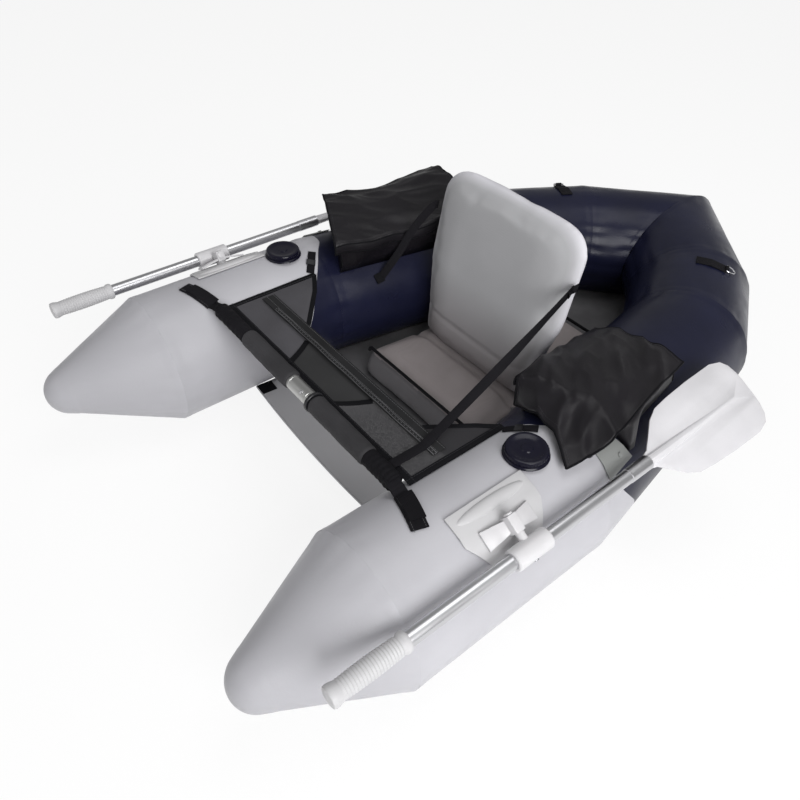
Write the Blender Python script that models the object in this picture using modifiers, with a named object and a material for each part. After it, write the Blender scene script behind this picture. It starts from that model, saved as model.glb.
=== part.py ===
# Float tube (belly boat) for one angler: two air tubes that meet at the stern, a seat with a
# folding backrest, a front bar with its apron, side pockets and a pair of short oars.
# Metres and radians, +Z up. The bows point to -Y, the stern to +Y and the floor is z = 0.
# Each left-hand piece is made at +X and has a mirrored right-hand twin at -X.

import math

import bmesh
import bpy
from mathutils import Matrix, Quaternion, Vector

# General clearances
gap = 0.0003
overrun = 0.002

# Air tubes: axes seen from above, heading inwards from the bows to the stern
tube_radius = 0.145
tube_skin = 0.0012
tube_sides = 24
tube_spread = 0.388
nose_cone_length = 0.2375
nose_tip_radius = 0.050
nose_tip_rise = 0.012
front_tube_length = 0.418
side_tube_length = 0.588
quarter_tube_length = 0.210
side_heading = math.radians(9.9)
quarter_heading = math.radians(30.0)
stern_heading = math.radians(46.3)
nose_dome_angles = [math.radians(angle) for angle in (42, 60, 78)]

# Wall inside the stern that parts the two air chambers
bulkhead_thickness = 0.002
bulkhead_clearance = 0.0016

# Cargo floor and seat
floor_underside = 0.027
floor_thickness = 0.003
seat_front_behind_bend = 0.018
seat_length = 0.482
seat_front_half_width = 0.197
seat_side_clearance = 0.0006
seat_thickness = 0.0767
seat_crown = 0.009
seat_edge_rounding = 0.014
seat_channel_depth = 0.006
seat_channel_half_width = 0.008
seat_section_points = 28
cushion_squareness = 0.42
seat_row_shares = (0.0, 0.03, 0.10, 0.20, 0.40, 0.62, 0.84, 0.95, 1.0)

# Backrest, an inflated cushion that stands on the seat and folds forward at its front edge
back_behind_seat_front = 0.139
back_height = 0.393
back_thickness = 0.066
back_lean = math.radians(10.5)
back_bottom_half_width = 0.165
back_top_half_width = 0.205
back_widening_height = 0.193
back_corner_radius = 0.070
back_crown = 0.010
back_edge_rounding = 0.018
back_foot_height = 0.12
back_section_points = 28
back_row_shares = (0.0, 0.04, 0.12, 0.28, 0.50, 0.70, 0.86, 0.93, 0.975, 1.0)

# Front bar: two aluminium rods in a coupler, foam sleeves and fabric end sleeves
bar_ahead_of_bend = 0.284
bar_below_tube_top = 0.015
rod_radius = 0.0125
rod_wall = 0.0015
coupler_centre = 0.018
coupler_length = 0.068
coupler_wall = 0.0025
lock_ring_width = 0.007
lock_ring_wall = 0.0078
foam_length = 0.165
foam_wall = 0.0067
end_sleeve_wall = 0.0052
end_sleeve_cap = 0.005
bar_sides = 20

# Straps
webbing_thickness = 0.0025
bar_strap_half_width = 0.015
bar_strap_inner_angle = math.radians(-26)
bar_strap_outer_angle = math.radians(4.5)
bar_strap_inner_ahead = 0.0075
bar_strap_outer_ahead = 0.0335
bar_strap_rise = 0.0085
bar_strap_root_half_width = 0.010

# Apron over the knees, with its cross strap, and the sheet that spreads the tubes below it
apron_edge_angle = math.radians(-32.543)
apron_thickness = 0.0025
apron_side_behind_bar = 0.239
apron_notch_inset = 0.085
cross_strap_behind_bar = 0.106
cross_strap_half_width = 0.015
cross_strap_inset = 0.025
spreader_middle_behind_bar = 0.038
spreader_side_behind_bar = 0.051
spreader_rear_behind_bar = 0.112
spreader_half_shares = (1.0, 0.75, 0.5, 0.25, 0.0)
apron_strap_half_width = 0.009
apron_strap_inner_angle = math.radians(-31)
apron_strap_outer_angle = math.radians(-11)
apron_strap_inner_ahead_of_bend = 0.052
apron_strap_outer_ahead_of_bend = 0.015

# Backrest straps
back_strap_half_width = 0.009
back_strap_thickness = 0.0022
back_strap_height = 0.293
back_strap_behind_face = 0.004
back_strap_inset = 0.050
back_strap_landing_behind_bar = 0.089
loose_strap_angle = math.radians(-53)
loose_strap_behind_bend = 0.128
loose_strap_lift = 0.006

# Filler valves
valve_ahead_of_bend = 0.076
valve_flange_radius = 0.0415
valve_flange_thickness = 0.005
valve_stem_radius = 0.0195
valve_stem_depth = 0.026
valve_bore_radius = 0.010
valve_cap_radius = 0.038
valve_cap_height = 0.010
valve_cap_rounding = 0.003

# Pockets on the side tubes, with a storm flap hinged along the outer edge. The left bag lies
# half empty and slopes down aft, and the right one stands full.
left_pocket_start = 0.014
left_pocket_length = 0.330
left_pocket_skew = -0.35
right_pocket_start = 0.060
right_pocket_length = 0.305
right_pocket_skew = 0.30
pocket_inner_angle = math.radians(-40)
pocket_outer_angle = math.radians(24)
pocket_across = (0.088, 0.044, 0.0, -0.058, -0.112)
left_pocket_rises = (0.058, 0.020)
left_pocket_height_shares = (0.45, 0.80, 1.0, 1.0, 0.92)
right_pocket_rises = (0.078, 0.096)
right_pocket_height_shares = (0.84, 1.0, 1.0, 0.90, 0.72)
pocket_end_sag = 0.010
pocket_row_shares = (0.0, 0.07, 0.3, 0.7, 0.93, 1.0)
pocket_sag_shares = (1.0, 0.25, 0.0, 0.0, 0.25, 1.0)
lid_clearance = 0.0008
lid_thickness = 0.0025
lid_lip = 0.024
lid_end_overhang = 0.004
lid_corner_overhang = 0.022
lid_hinge_offset = 0.001

# Oars, stowed along the tubes
oar_ahead_of_bend = 0.195
oar_angle = math.radians(46.848)
oar_off_skin = 0.030454
shaft_radius = 0.0125
shaft_wall = 0.0015
grip_end_ahead = 0.372
grip_length = 0.131
grip_radius = 0.017
grip_rounding = 0.005
grip_end_wall = 0.008
blade_neck_behind = 0.293
blade_length = 0.316
blade_width = 0.156
blade_tilt = math.radians(27)
blade_half_thickness = 0.0024
blade_edge_half_thickness = 0.0013
spine_radius = 0.0112
spine_length = 0.245
blade_spigot_length = 0.050
blade_row_shares = (0.0, 0.038, 0.11, 0.19, 0.275, 0.40, 0.60, 0.85, 0.94, 0.98, 1.0)
blade_half_width_shares = (0.17, 0.21, 0.44, 0.71, 0.87, 0.93, 0.98, 1.0, 0.90, 0.72, 0.46)

# Oarlocks: a base glued to the tube, a pin, and a winged yoke that carries the oar's collar
lock_tilt = math.radians(30)
collar_radius = 0.0185
collar_length = 0.075
collar_rounding = 0.002
pin_offset = 0.045
stud_radius = 0.004
stud_shoulder_radius = 0.008
stud_head_radius = 0.0075
stud_head_thickness = 0.003
screw_radius = 0.0048
screw_length = 0.0045
screw_recess_radius = 0.0054
screw_recess_depth = 0.0035
screw_socket_radius = 0.0022
screw_socket_depth = 0.0020
hub_half_width = 0.009
hub_half_length = 0.015
hub_above_stud = 0.0085
wing_span = 0.052
wing_thickness = 0.0040
wing_root_half_width = 0.0105
wing_tip_half_width = 0.0165
wing_root_height = 0.0065
wing_tip_droop = 0.0080
lock_pin_radius = 0.004
lock_pin_depth = 0.0035
lock_pin_reach = 0.0065
base_thickness = 0.003
base_inner_angle = math.radians(8)
base_outer_angle = math.radians(50)
base_inner_half_length = 0.083
base_outer_half_length = 0.050
base_boss_radius = 0.011
base_boss_height = 0.006
hump_angle = math.radians(15)
hump_half_length = 0.076
hump_half_width = 0.0125
hump_height = 0.007

# Oar clips: a patch with a stud for the oar's strap
clip_thickness = 0.0022
clip_inner_angle = math.radians(27)
clip_outer_angle = math.radians(49)
clip_inner_start = 0.022
clip_inner_length = 0.056
clip_outer_start = 0.014
clip_outer_length = 0.078
clip_stud_angle = math.radians(41)
clip_stud_place = 0.064
clip_stud_radius = 0.005
clip_stud_height = 0.004

# D-rings on their webbing patches, on the quarter tubes
ring_place = 0.145
ring_patch_thickness = 0.002
ring_patch_half_width = 0.015
ring_patch_inner_angle = math.radians(-6)
ring_patch_outer_angle = math.radians(22)
ring_loop_half_length = 0.007
ring_loop_radius = 0.0042
ring_wire_radius = 0.00175
ring_half_width = 0.0125
ring_depth = 0.020
ring_arc_points = 7

# Places that follow from the sizes above
facet = 2 * math.pi / tube_sides
stern_plan = tube_radius / math.sin(stern_heading)


def heading_vector(heading):
    return Vector((-math.sin(heading), math.cos(heading), 0.0))


def outboard_vector(heading):
    return Vector((math.cos(heading), math.sin(heading), 0.0))


def plan_points():
    """Tube axis from the nose tip to the stern, centred on the boat's length."""
    corners = [Vector((tube_spread, 0.0, tube_radius))]
    for length, heading in (
        (nose_cone_length, 0.0),
        (front_tube_length, 0.0),
        (side_tube_length, side_heading),
        (quarter_tube_length, quarter_heading),
    ):
        corners.append(corners[-1] + heading_vector(heading) * length)
    stern_length = corners[-1].x / math.sin(stern_heading)
    corners.append(corners[-1] + heading_vector(stern_heading) * stern_length)
    overall_length = corners[-1].y + stern_plan
    shift = Vector((0.0, -overall_length / 2, 0.0))
    return [corner + shift for corner in corners]


nose_point, seam_point, bend_point, quarter_point, stern_point, apex_point = plan_points()
bend_y = bend_point.y
bar_y = bend_y - bar_ahead_of_bend
bar_z = 2 * tube_radius - bar_below_tube_top
floor_top = floor_underside + floor_thickness
seat_front_y = bend_y + seat_front_behind_bend
seat_rear_y = seat_front_y + seat_length
seat_underside = floor_top + gap
seat_top = seat_underside + seat_thickness
back_y = seat_front_y + back_behind_seat_front
back_underside = seat_top + gap
tube_top = 2 * tube_radius


class TubeLine:
    """One straight run of an air tube: its start, its heading and the points on its skin."""

    def __init__(self, start, heading):
        self.start = start
        self.along = heading_vector(heading)
        self.outboard = outboard_vector(heading)

    def at(self, along, across, height):
        point = self.start + self.along * along + self.outboard * across
        return Vector((point.x, point.y, height))

    def skin(self, along, angle, lift=0.0):
        """A point on the faceted skin, or lifted off it. The angle is from straight up."""
        off_centre = angle - round(angle / facet) * facet
        reach = (tube_radius + lift) / math.cos(off_centre)
        return self.at(along, reach * math.sin(angle), tube_radius + reach * math.cos(angle))


front_line = TubeLine(seam_point, 0.0)
side_line = TubeLine(bend_point, side_heading)
quarter_line = TubeLine(quarter_point, quarter_heading)
stern_line = TubeLine(stern_point, stern_heading)


def tube_half_width(height):
    """Half the width of the faceted tube at a height above the floor."""
    corner_reach = tube_radius / math.cos(facet / 2)
    drop = abs(height - tube_radius)
    for side in range(tube_sides):
        low = (side + 0.5) * facet
        high = (side + 1.5) * facet
        low_drop = corner_reach * math.cos(low)
        high_drop = corner_reach * math.cos(high)
        if high_drop <= drop <= low_drop:
            share = (low_drop - drop) / (low_drop - high_drop)
            return corner_reach * (math.sin(low) + share * (math.sin(high) - math.sin(low)))
    return 0.0 if drop > tube_radius else tube_radius


def front_skin_height(across):
    """Height of the front tube's upper skin at a distance across from its axis."""
    steps = [(side - 0.5) * facet for side in range(-tube_sides // 4, tube_sides // 4 + 2)]
    corner_reach = tube_radius / math.cos(facet / 2)
    for low, high in zip(steps, steps[1:]):
        low_across = corner_reach * math.sin(low)
        high_across = corner_reach * math.sin(high)
        if low_across <= across <= high_across:
            share = (across - low_across) / (high_across - low_across)
            low_height = corner_reach * math.cos(low)
            return tube_radius + low_height + share * (corner_reach * math.cos(high) - low_height)
    return tube_radius


apron_edge_across = tube_radius * math.sin(apron_edge_angle)
apron_half_width = tube_spread + apron_edge_across
apron_underside = front_skin_height(apron_edge_across) + gap
apron_top = apron_underside + apron_thickness


# Scene, collections and finishes
for old_object in list(bpy.data.objects):
    bpy.data.objects.remove(old_object)

parts = bpy.data.collections.new("float_tube")
tools = bpy.data.collections.new("float_tube_cutters")
bpy.context.scene.collection.children.link(parts)
bpy.context.scene.collection.children.link(tools)

finishes = {
    "grey_pvc": ((0.50, 0.50, 0.53), 0.42, 0.0),
    "navy_pvc": ((0.012, 0.014, 0.036), 0.32, 0.0),
    "floor_fabric": ((0.055, 0.055, 0.060), 0.60, 0.0),
    "seat_fabric": ((0.130, 0.118, 0.118), 0.75, 0.0),
    "back_fabric": ((0.220, 0.220, 0.225), 0.62, 0.0),
    "webbing": ((0.010, 0.010, 0.012), 0.70, 0.0),
    "apron_mesh": ((0.040, 0.040, 0.044), 0.80, 0.0),
    "panel_pvc": ((0.260, 0.260, 0.270), 0.50, 0.0),
    "foam": ((0.022, 0.022, 0.025), 0.85, 0.0),
    "aluminium": ((0.780, 0.780, 0.800), 0.28, 1.0),
    "white_plastic": ((0.720, 0.720, 0.720), 0.38, 0.0),
    "blade_plastic": ((0.640, 0.640, 0.650), 0.36, 0.0),
    "grey_rubber": ((0.420, 0.420, 0.415), 0.60, 0.0),
    "navy_plastic": ((0.016, 0.014, 0.045), 0.18, 0.0),
    "black_plastic": ((0.012, 0.012, 0.014), 0.40, 0.0),
    "bag_nylon": ((0.009, 0.009, 0.011), 0.66, 0.0),
    "steel": ((0.620, 0.620, 0.640), 0.25, 1.0),
}


def finish_material(name, finish):
    colour, roughness, metallic = finishes[finish]
    material = bpy.data.materials.new(name + "_finish")
    material.use_nodes = True
    shader = material.node_tree.nodes["Principled BSDF"]
    shader.inputs["Base Color"].default_value = (*colour, 1.0)
    shader.inputs["Roughness"].default_value = roughness
    shader.inputs["Metallic"].default_value = metallic
    material.diffuse_color = (*colour, 1.0)
    return material


def smooth(mesh):
    mesh.shade_smooth()
    mesh.set_sharp_from_angle(angle=math.radians(32))


def add_piece(name, shape, finish, origin=None):
    """A named part from a bmesh in world places, with its origin at the given point."""
    origin = origin or Vector((0.0, 0.0, 0.0))
    bmesh.ops.translate(shape, verts=shape.verts, vec=-origin)
    mesh = bpy.data.meshes.new(name)
    shape.to_mesh(mesh)
    shape.free()
    smooth(mesh)
    piece = bpy.data.objects.new(name, mesh)
    piece.location = origin
    mesh.materials.append(finish_material(name, finish))
    parts.objects.link(piece)
    return piece


def add_tool(piece, shape, operation):
    """A hidden shape that is cut from a part, or joined to it."""
    name = f"{piece.name}_{operation.lower()}_{len(piece.modifiers)}"
    mesh = bpy.data.meshes.new(name)
    shape.to_mesh(mesh)
    shape.free()
    tool = bpy.data.objects.new(name, mesh)
    tool.hide_render = True
    tool.display_type = "WIRE"
    tools.objects.link(tool)
    modifier = piece.modifiers.new(name, "BOOLEAN")
    modifier.operation = operation
    modifier.solver = "EXACT"
    modifier.object = tool


def add_mirrored(piece):
    """The right-hand twin of a left-hand part."""
    bpy.context.view_layer.update()
    graph = bpy.context.evaluated_depsgraph_get()
    mesh = bpy.data.meshes.new_from_object(piece.evaluated_get(graph))
    place = piece.matrix_world.copy()
    name = piece.name.replace("left", "right")
    origin = place.translation.copy()
    mesh.transform(Matrix.Translation(-origin) @ place)
    mesh.transform(Matrix.Diagonal((-1.0, 1.0, 1.0, 1.0)))
    mesh.flip_normals()
    mesh.name = name
    material = piece.data.materials[0].copy()
    material.name = name + "_finish"
    mesh.materials.clear()
    mesh.materials.append(material)
    twin = bpy.data.objects.new(name, mesh)
    twin.location = Vector((-origin.x, origin.y, origin.z))
    parts.objects.link(twin)
    return twin


# Shapes
def add_curved_cap(shape, loop):
    """Close a ring that is symmetrical fore and aft, in strips that follow its curve."""
    count = len(loop)
    for index in range(count // 2):
        corners = [loop[index], loop[index + 1], loop[count - index - 1], loop[-index]]
        shape.faces.new(list(dict.fromkeys(corners)))


def add_loft(shape, rings, closed=False, curved_foot=False):
    """Skin a row of rings with the same number of points. An open row gets end caps."""
    loops = [[shape.verts.new(point) for point in ring] for ring in rings]
    pairs = list(zip(loops, loops[1:]))
    if closed:
        pairs.append((loops[-1], loops[0]))
    elif curved_foot:
        add_curved_cap(shape, loops[0])
        shape.faces.new(loops[-1])
    else:
        shape.faces.new(loops[0])
        shape.faces.new(loops[-1])
    for first, second in pairs:
        for index in range(len(first)):
            following = (index + 1) % len(first)
            shape.faces.new((first[index], first[following], second[following], second[index]))
    bmesh.ops.recalc_face_normals(shape, faces=shape.faces)


def loft(rings, closed=False, curved_foot=False):
    shape = bmesh.new()
    add_loft(shape, rings, closed, curved_foot)
    return shape


def rod_shape(start, end, radius, sides=16):
    """A plain round rod from one point to another."""
    direction = end - start
    turn = direction.to_track_quat("Z", "Y").to_matrix().to_4x4()
    shape = bmesh.new()
    bmesh.ops.create_cone(
        shape,
        cap_ends=True,
        segments=sides,
        radius1=radius,
        radius2=radius,
        depth=direction.length,
        matrix=Matrix.Translation((start + end) / 2) @ turn,
    )
    return shape


def mirror_shape(shape):
    """Turn a left-hand shape into a right-hand one."""
    bmesh.ops.scale(shape, verts=shape.verts, vec=(-1.0, 1.0, 1.0))
    bmesh.ops.reverse_faces(shape, faces=shape.faces)


def block_shape(centre, half_sizes, axes):
    """A box about a centre, with half sizes along three axes."""
    turn = Matrix([list(axis) for axis in axes]).transposed().to_4x4()
    scale = Matrix.Diagonal((*half_sizes, 1.0))
    shape = bmesh.new()
    bmesh.ops.create_cube(shape, size=2.0, matrix=Matrix.Translation(centre) @ turn @ scale)
    return shape


def add_turned(name, profile, origin, axis, finish, sides, closed=True):
    """A part turned about an axis. The profile holds (radius, height) pairs, top to bottom."""
    mesh = bpy.data.meshes.new(name)
    points = [(radius, 0.0, height) for radius, height in profile]
    edges = [(index, index + 1) for index in range(len(points) - 1)]
    if closed:
        edges.append((len(points) - 1, 0))
    mesh.from_pydata(points, edges, [])
    mesh.materials.append(finish_material(name, finish))
    piece = bpy.data.objects.new(name, mesh)
    piece.location = origin
    piece.rotation_mode = "QUATERNION"
    piece.rotation_quaternion = Vector((0.0, 0.0, 1.0)).rotation_difference(axis)
    screw = piece.modifiers.new("turning", "SCREW")
    screw.steps = sides
    screw.render_steps = sides
    screw.use_merge_vertices = True
    screw.merge_threshold = 0.0001
    screw.use_smooth_shade = True
    parts.objects.link(piece)
    return piece


def pipe_profile(outer_radius, inner_radius, top, bottom):
    return [(outer_radius, top), (outer_radius, bottom), (inner_radius, bottom), (inner_radius, top)]


def patch_stations(stations):
    """Add a station at each edge of a facet that lies between two given ones."""
    full = [stations[0]]
    for (low, low_from, low_to), (high, high_from, high_to) in zip(stations, stations[1:]):
        edge = (math.floor(low / facet - 0.5) + 1.5) * facet
        while edge < high:
            share = (edge - low) / (high - low)
            if share > 0:
                start = low_from + share * (high_from - low_from)
                full.append((edge, start, low_to + share * (high_to - low_to)))
            edge += facet
        full.append((high, high_from, high_to))
    return full


def patch_rings(line, stations, lift, thickness):
    """Sections of a sheet that lies on a tube: each holds an angle and where it starts and ends."""
    rings = []
    for angle, start, end in patch_stations(stations):
        rings.append([
            line.skin(start, angle, lift),
            line.skin(end, angle, lift),
            line.skin(end, angle, lift + thickness),
            line.skin(start, angle, lift + thickness),
        ])
    return rings


def tube_ring(line, radius, plane_point, plane_normal):
    """Where a tube of this radius meets a plane: one point for each edge of its facets."""
    reach = radius / math.cos(facet / 2)
    ring = []
    for side in range(tube_sides):
        angle = (side + 0.5) * facet
        point = line.at(0.0, reach * math.sin(angle), tube_radius + reach * math.cos(angle))
        along = (plane_point - point).dot(plane_normal) / line.along.dot(plane_normal)
        ring.append(point + line.along * along)
    return ring


def tube_section(name, line, start_point, start_normal, end_point, end_normal, finish):
    """An open length of air tube between two mitre planes, with a clearance at each."""
    start_point = start_point + start_normal * gap / 2
    end_point = end_point - end_normal * gap / 2
    inner_radius = tube_radius - tube_skin
    rings = [
        tube_ring(line, tube_radius, start_point, start_normal),
        tube_ring(line, tube_radius, end_point, end_normal),
        tube_ring(line, inner_radius, end_point, end_normal),
        tube_ring(line, inner_radius, start_point, start_normal),
    ]
    return add_piece(name, loft(rings, closed=True), finish)


def mitre_normal(first_heading, second_heading):
    return (heading_vector(first_heading) + heading_vector(second_heading)).normalized()


# Air tubes
def make_nose_cone():
    """The tapered bow: a cone from the tube's full size to a round tip, open at its rear."""
    cap_y = nose_point.y + nose_tip_radius
    cap_distance = seam_point.y - cap_y
    slope = math.atan2(tube_radius, cap_distance) - math.asin(
        nose_tip_radius / math.hypot(tube_radius, cap_distance))

    def ring(y, radius):
        share = min((seam_point.y - y) / cap_distance, 1.0)
        centre = Vector((tube_spread, y, tube_radius + nose_tip_rise * share))
        reach = radius / math.cos(facet / 2)
        angles = [(side + 0.5) * facet for side in range(tube_sides)]
        return [centre + Vector((math.sin(angle), 0.0, math.cos(angle))) * reach for angle in angles]

    def shell(tip_radius, rear_radius):
        rings = [ring(seam_point.y - gap / 2, rear_radius)]
        for angle in [slope] + nose_dome_angles:
            reach = tip_radius * math.sin(angle) / math.sin(nose_dome_angles[-1])
            rings.append(ring(cap_y - reach, tip_radius * math.cos(angle)))
        return rings

    outer = shell(nose_tip_radius, tube_radius)
    inner = shell(nose_tip_radius - tube_skin, tube_radius - tube_skin)
    return add_piece("nose_cone_left", loft(inner[::-1] + outer), "grey_pvc")


def make_air_tubes():
    ahead = heading_vector(0.0)
    first_mitre = mitre_normal(0.0, side_heading)
    second_mitre = mitre_normal(side_heading, quarter_heading)
    third_mitre = mitre_normal(quarter_heading, stern_heading)
    centre = Vector((-1.0, 0.0, 0.0))
    front = tube_section(
        "front_tube_left", front_line, seam_point, ahead, bend_point, first_mitre, "grey_pvc")
    valve_top = valve_centre() + Vector((0.0, 0.0, overrun))
    valve_bottom = valve_centre() - Vector((0.0, 0.0, tube_radius / 2))
    hole = rod_shape(valve_bottom, valve_top, valve_stem_radius + gap, tube_sides)
    add_tool(front, hole, "DIFFERENCE")
    side = tube_section(
        "side_tube_left", side_line, bend_point, first_mitre, quarter_point, second_mitre, "navy_pvc")
    quarter = tube_section(
        "quarter_tube_left", quarter_line, quarter_point, second_mitre, stern_point, third_mitre,
        "navy_pvc")
    stern = tube_section(
        "stern_tube_left", stern_line, stern_point, third_mitre, apex_point, centre, "navy_pvc")
    for piece in (make_nose_cone(), front, side, quarter, stern):
        add_mirrored(piece)


def make_stern_bulkhead():
    """A disc across the stern's centre plane, inside the skin."""
    reach = (tube_radius - tube_skin) / math.cos(facet / 2)
    ring = []
    for side in range(tube_sides):
        angle = (side + 0.5) * facet
        along = (reach * math.sin(angle)) / math.sin(stern_heading)
        height = reach * math.cos(angle)
        shrink = 1 - bulkhead_clearance / tube_radius
        upright = 1 - 2 * gap / tube_radius
        ring.append((along * shrink, height * upright))
    rings = []
    for x in (-bulkhead_thickness / 2, bulkhead_thickness / 2):
        rings.append([Vector((x, apex_point.y + along, tube_radius + up)) for along, up in ring])
    add_piece("stern_bulkhead", loft(rings), "navy_pvc")


# Floor, seat and backrest
def inboard_outline(inset, front_y):
    """Points along the inner side of the left tubes, at a distance from their axes."""
    start = front_line.at(0.0, -inset, 0.0)
    points = [Vector((start.x, front_y, 0.0))]
    if front_y > bend_y:
        along = (front_y - bend_y + inset * math.sin(side_heading)) / math.cos(side_heading)
        points = [side_line.at(along, -inset, 0.0)]
    for corner, before, after in (
        (bend_point, 0.0, side_heading),
        (quarter_point, side_heading, quarter_heading),
        (stern_point, quarter_heading, stern_heading),
    ):
        if corner.y > front_y:
            turn = (after - before) / 2
            outward = outboard_vector(before + turn)
            point = corner - outward * inset / math.cos(turn)
            points.append(Vector((point.x, point.y, 0.0)))
    points.append(Vector((0.0, apex_point.y - inset / math.sin(stern_heading), 0.0)))
    return points


def add_plate(name, outline, underside, thickness, finish):
    """A flat sheet with the given plan outline."""
    rings = []
    for height in (underside, underside + thickness):
        rings.append([Vector((point.x, point.y, height)) for point in outline])
    return add_piece(name, loft(rings), finish)


def mirrored_outline(points):
    """A closed outline from its left half, which may end on the centre line."""
    right = [Vector((-point.x, point.y, point.z)) for point in reversed(points)]
    if abs(points[-1].x) < gap:
        right = right[1:]
    return points + right


def make_cargo_floor():
    outline = inboard_outline(tube_half_width(floor_top) + 2 * gap, seat_front_y)
    add_plate("cargo_floor", mirrored_outline(outline), floor_underside, floor_thickness, "floor_fabric")


def cushion_ring(count, half_width, half_depth, crown, flat_foot=False):
    """A rounded oblong with crowned faces, as (across, depth) pairs about its middle."""
    ring = []
    for index in range(count):
        angle = 2 * math.pi * index / count
        across = math.copysign(abs(math.cos(angle)) ** cushion_squareness, math.cos(angle))
        depth = math.copysign(abs(math.sin(angle)) ** cushion_squareness, math.sin(angle))
        swell = 0.0 if flat_foot and depth < 0 else crown * across * across
        ring.append((half_width * across, (half_depth - swell) * depth))
    return ring


def seat_half_width(y):
    """Half the seat's width at a place along the boat."""
    rear_inset = (tube_radius + seat_side_clearance) / math.cos(side_heading)
    rear_axis = side_line.start.x - (seat_rear_y - bend_y) * math.tan(side_heading)
    share = (y - seat_front_y) / seat_length
    return seat_front_half_width + share * (rear_axis - rear_inset - seat_front_half_width)


def make_seat_cushion():
    """A cushion with a crowned top, rounded ends and a sewn channel ahead of the backrest."""
    channel = (back_behind_seat_front - seat_channel_half_width) / seat_length
    reach = seat_channel_half_width / seat_length
    rows = [(share, 0.0) for share in seat_row_shares]
    rows += [(channel - reach, 0.0), (channel, 1.0), (channel + reach, 0.0)]
    rings = []
    for share, channel_share in sorted(rows):
        y = seat_front_y + share * seat_length
        half_width = seat_half_width(y)
        end_distance = min(share, 1 - share) * seat_length
        rounding = max(0.0, 1 - end_distance / seat_edge_rounding)
        draw = seat_edge_rounding * rounding * rounding
        half_depth = (seat_thickness - draw) / 2
        ring = cushion_ring(
            seat_section_points, half_width - draw / 2, half_depth, seat_crown, flat_foot=True)
        points = []
        for across, depth in ring:
            lift = seat_underside + half_depth + depth
            if depth > 0:
                lift -= seat_channel_depth * channel_share
            points.append(Vector((across, y, lift)))
        rings.append(points)
    add_piece("seat_cushion", loft(rings), "seat_fabric")


def back_half_width(height):
    """Half the backrest's width, at a height above its foot."""
    share = min(height / back_widening_height, 1.0)
    width = back_bottom_half_width + share * (back_top_half_width - back_bottom_half_width)
    into_corner = height - (back_height - back_corner_radius)
    if into_corner > 0:
        reach = min(into_corner / back_corner_radius, 1.0)
        width -= back_corner_radius * (1 - math.sqrt(1 - reach * reach))
    return width


def back_face_y(height):
    """The front face of the backrest, at a height above its foot."""
    return back_y + height * math.tan(back_lean)


def make_backrest():
    rings = []
    for share in back_row_shares:
        height = share * back_height
        rounding = max(0.0, 1 - (back_height - height) / (2 * back_edge_rounding))
        half_depth = back_thickness / 2 - back_edge_rounding * rounding * rounding
        ring = cushion_ring(back_section_points, back_half_width(height), half_depth, back_crown)
        centre = back_face_y(height) + back_thickness / 2
        fade = max(0.0, 1 - height / back_foot_height)
        points = []
        for across, depth in ring:
            sag = seat_crown * fade * (across / seat_half_width(back_y)) ** 2
            points.append(Vector((across, centre + depth, back_underside + height - sag)))
        rings.append(points)
    hinge = Vector((0.0, back_y, back_underside))
    add_piece("backrest", loft(rings, curved_foot=True), "back_fabric", hinge)


# Front bar
def bar_end():
    """Where the bar's end sleeve comes to rest on the shoulder of the tube."""
    radius = rod_radius + gap + end_sleeve_wall
    return tube_spread - tube_half_width(bar_z - radius) - gap


def make_front_bar():
    right_way = Vector((1.0, 0.0, 0.0))
    centre = Vector((0.0, bar_y, bar_z))
    bore = rod_radius + gap
    rod_end = bar_end() - end_sleeve_cap - gap
    coupler_from = coupler_centre - coupler_length / 2
    coupler_to = coupler_centre + coupler_length / 2
    ring_to = coupler_to + gap + lock_ring_width
    left_foam = (ring_to + gap, ring_to + gap + foam_length)
    right_foam = (coupler_from - gap - foam_length, coupler_from - gap)

    def pipe(name, outer, inner, start, end, finish, sides=bar_sides):
        profile = pipe_profile(outer, inner, end, start)
        return add_turned(name, profile, centre, right_way, finish, sides)

    inner_rod = rod_radius - rod_wall
    pipe("bar_rod_left", rod_radius, inner_rod, coupler_centre + gap, rod_end, "aluminium")
    pipe("bar_rod_right", rod_radius, inner_rod, -rod_end, coupler_centre - gap, "aluminium")
    pipe("bar_coupler", bore + coupler_wall, bore, coupler_from, coupler_to, "aluminium")
    pipe("bar_lock_ring", bore + lock_ring_wall, bore, coupler_to + gap, ring_to, "black_plastic")
    pipe("foam_sleeve_left", bore + foam_wall, bore, *left_foam, "foam")
    pipe("foam_sleeve_right", bore + foam_wall, bore, *right_foam, "foam")
    make_bar_strap("bar_strap_left", 1, left_foam[1] + gap)
    make_bar_strap("bar_strap_right", -1, -right_foam[0] + gap)


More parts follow.
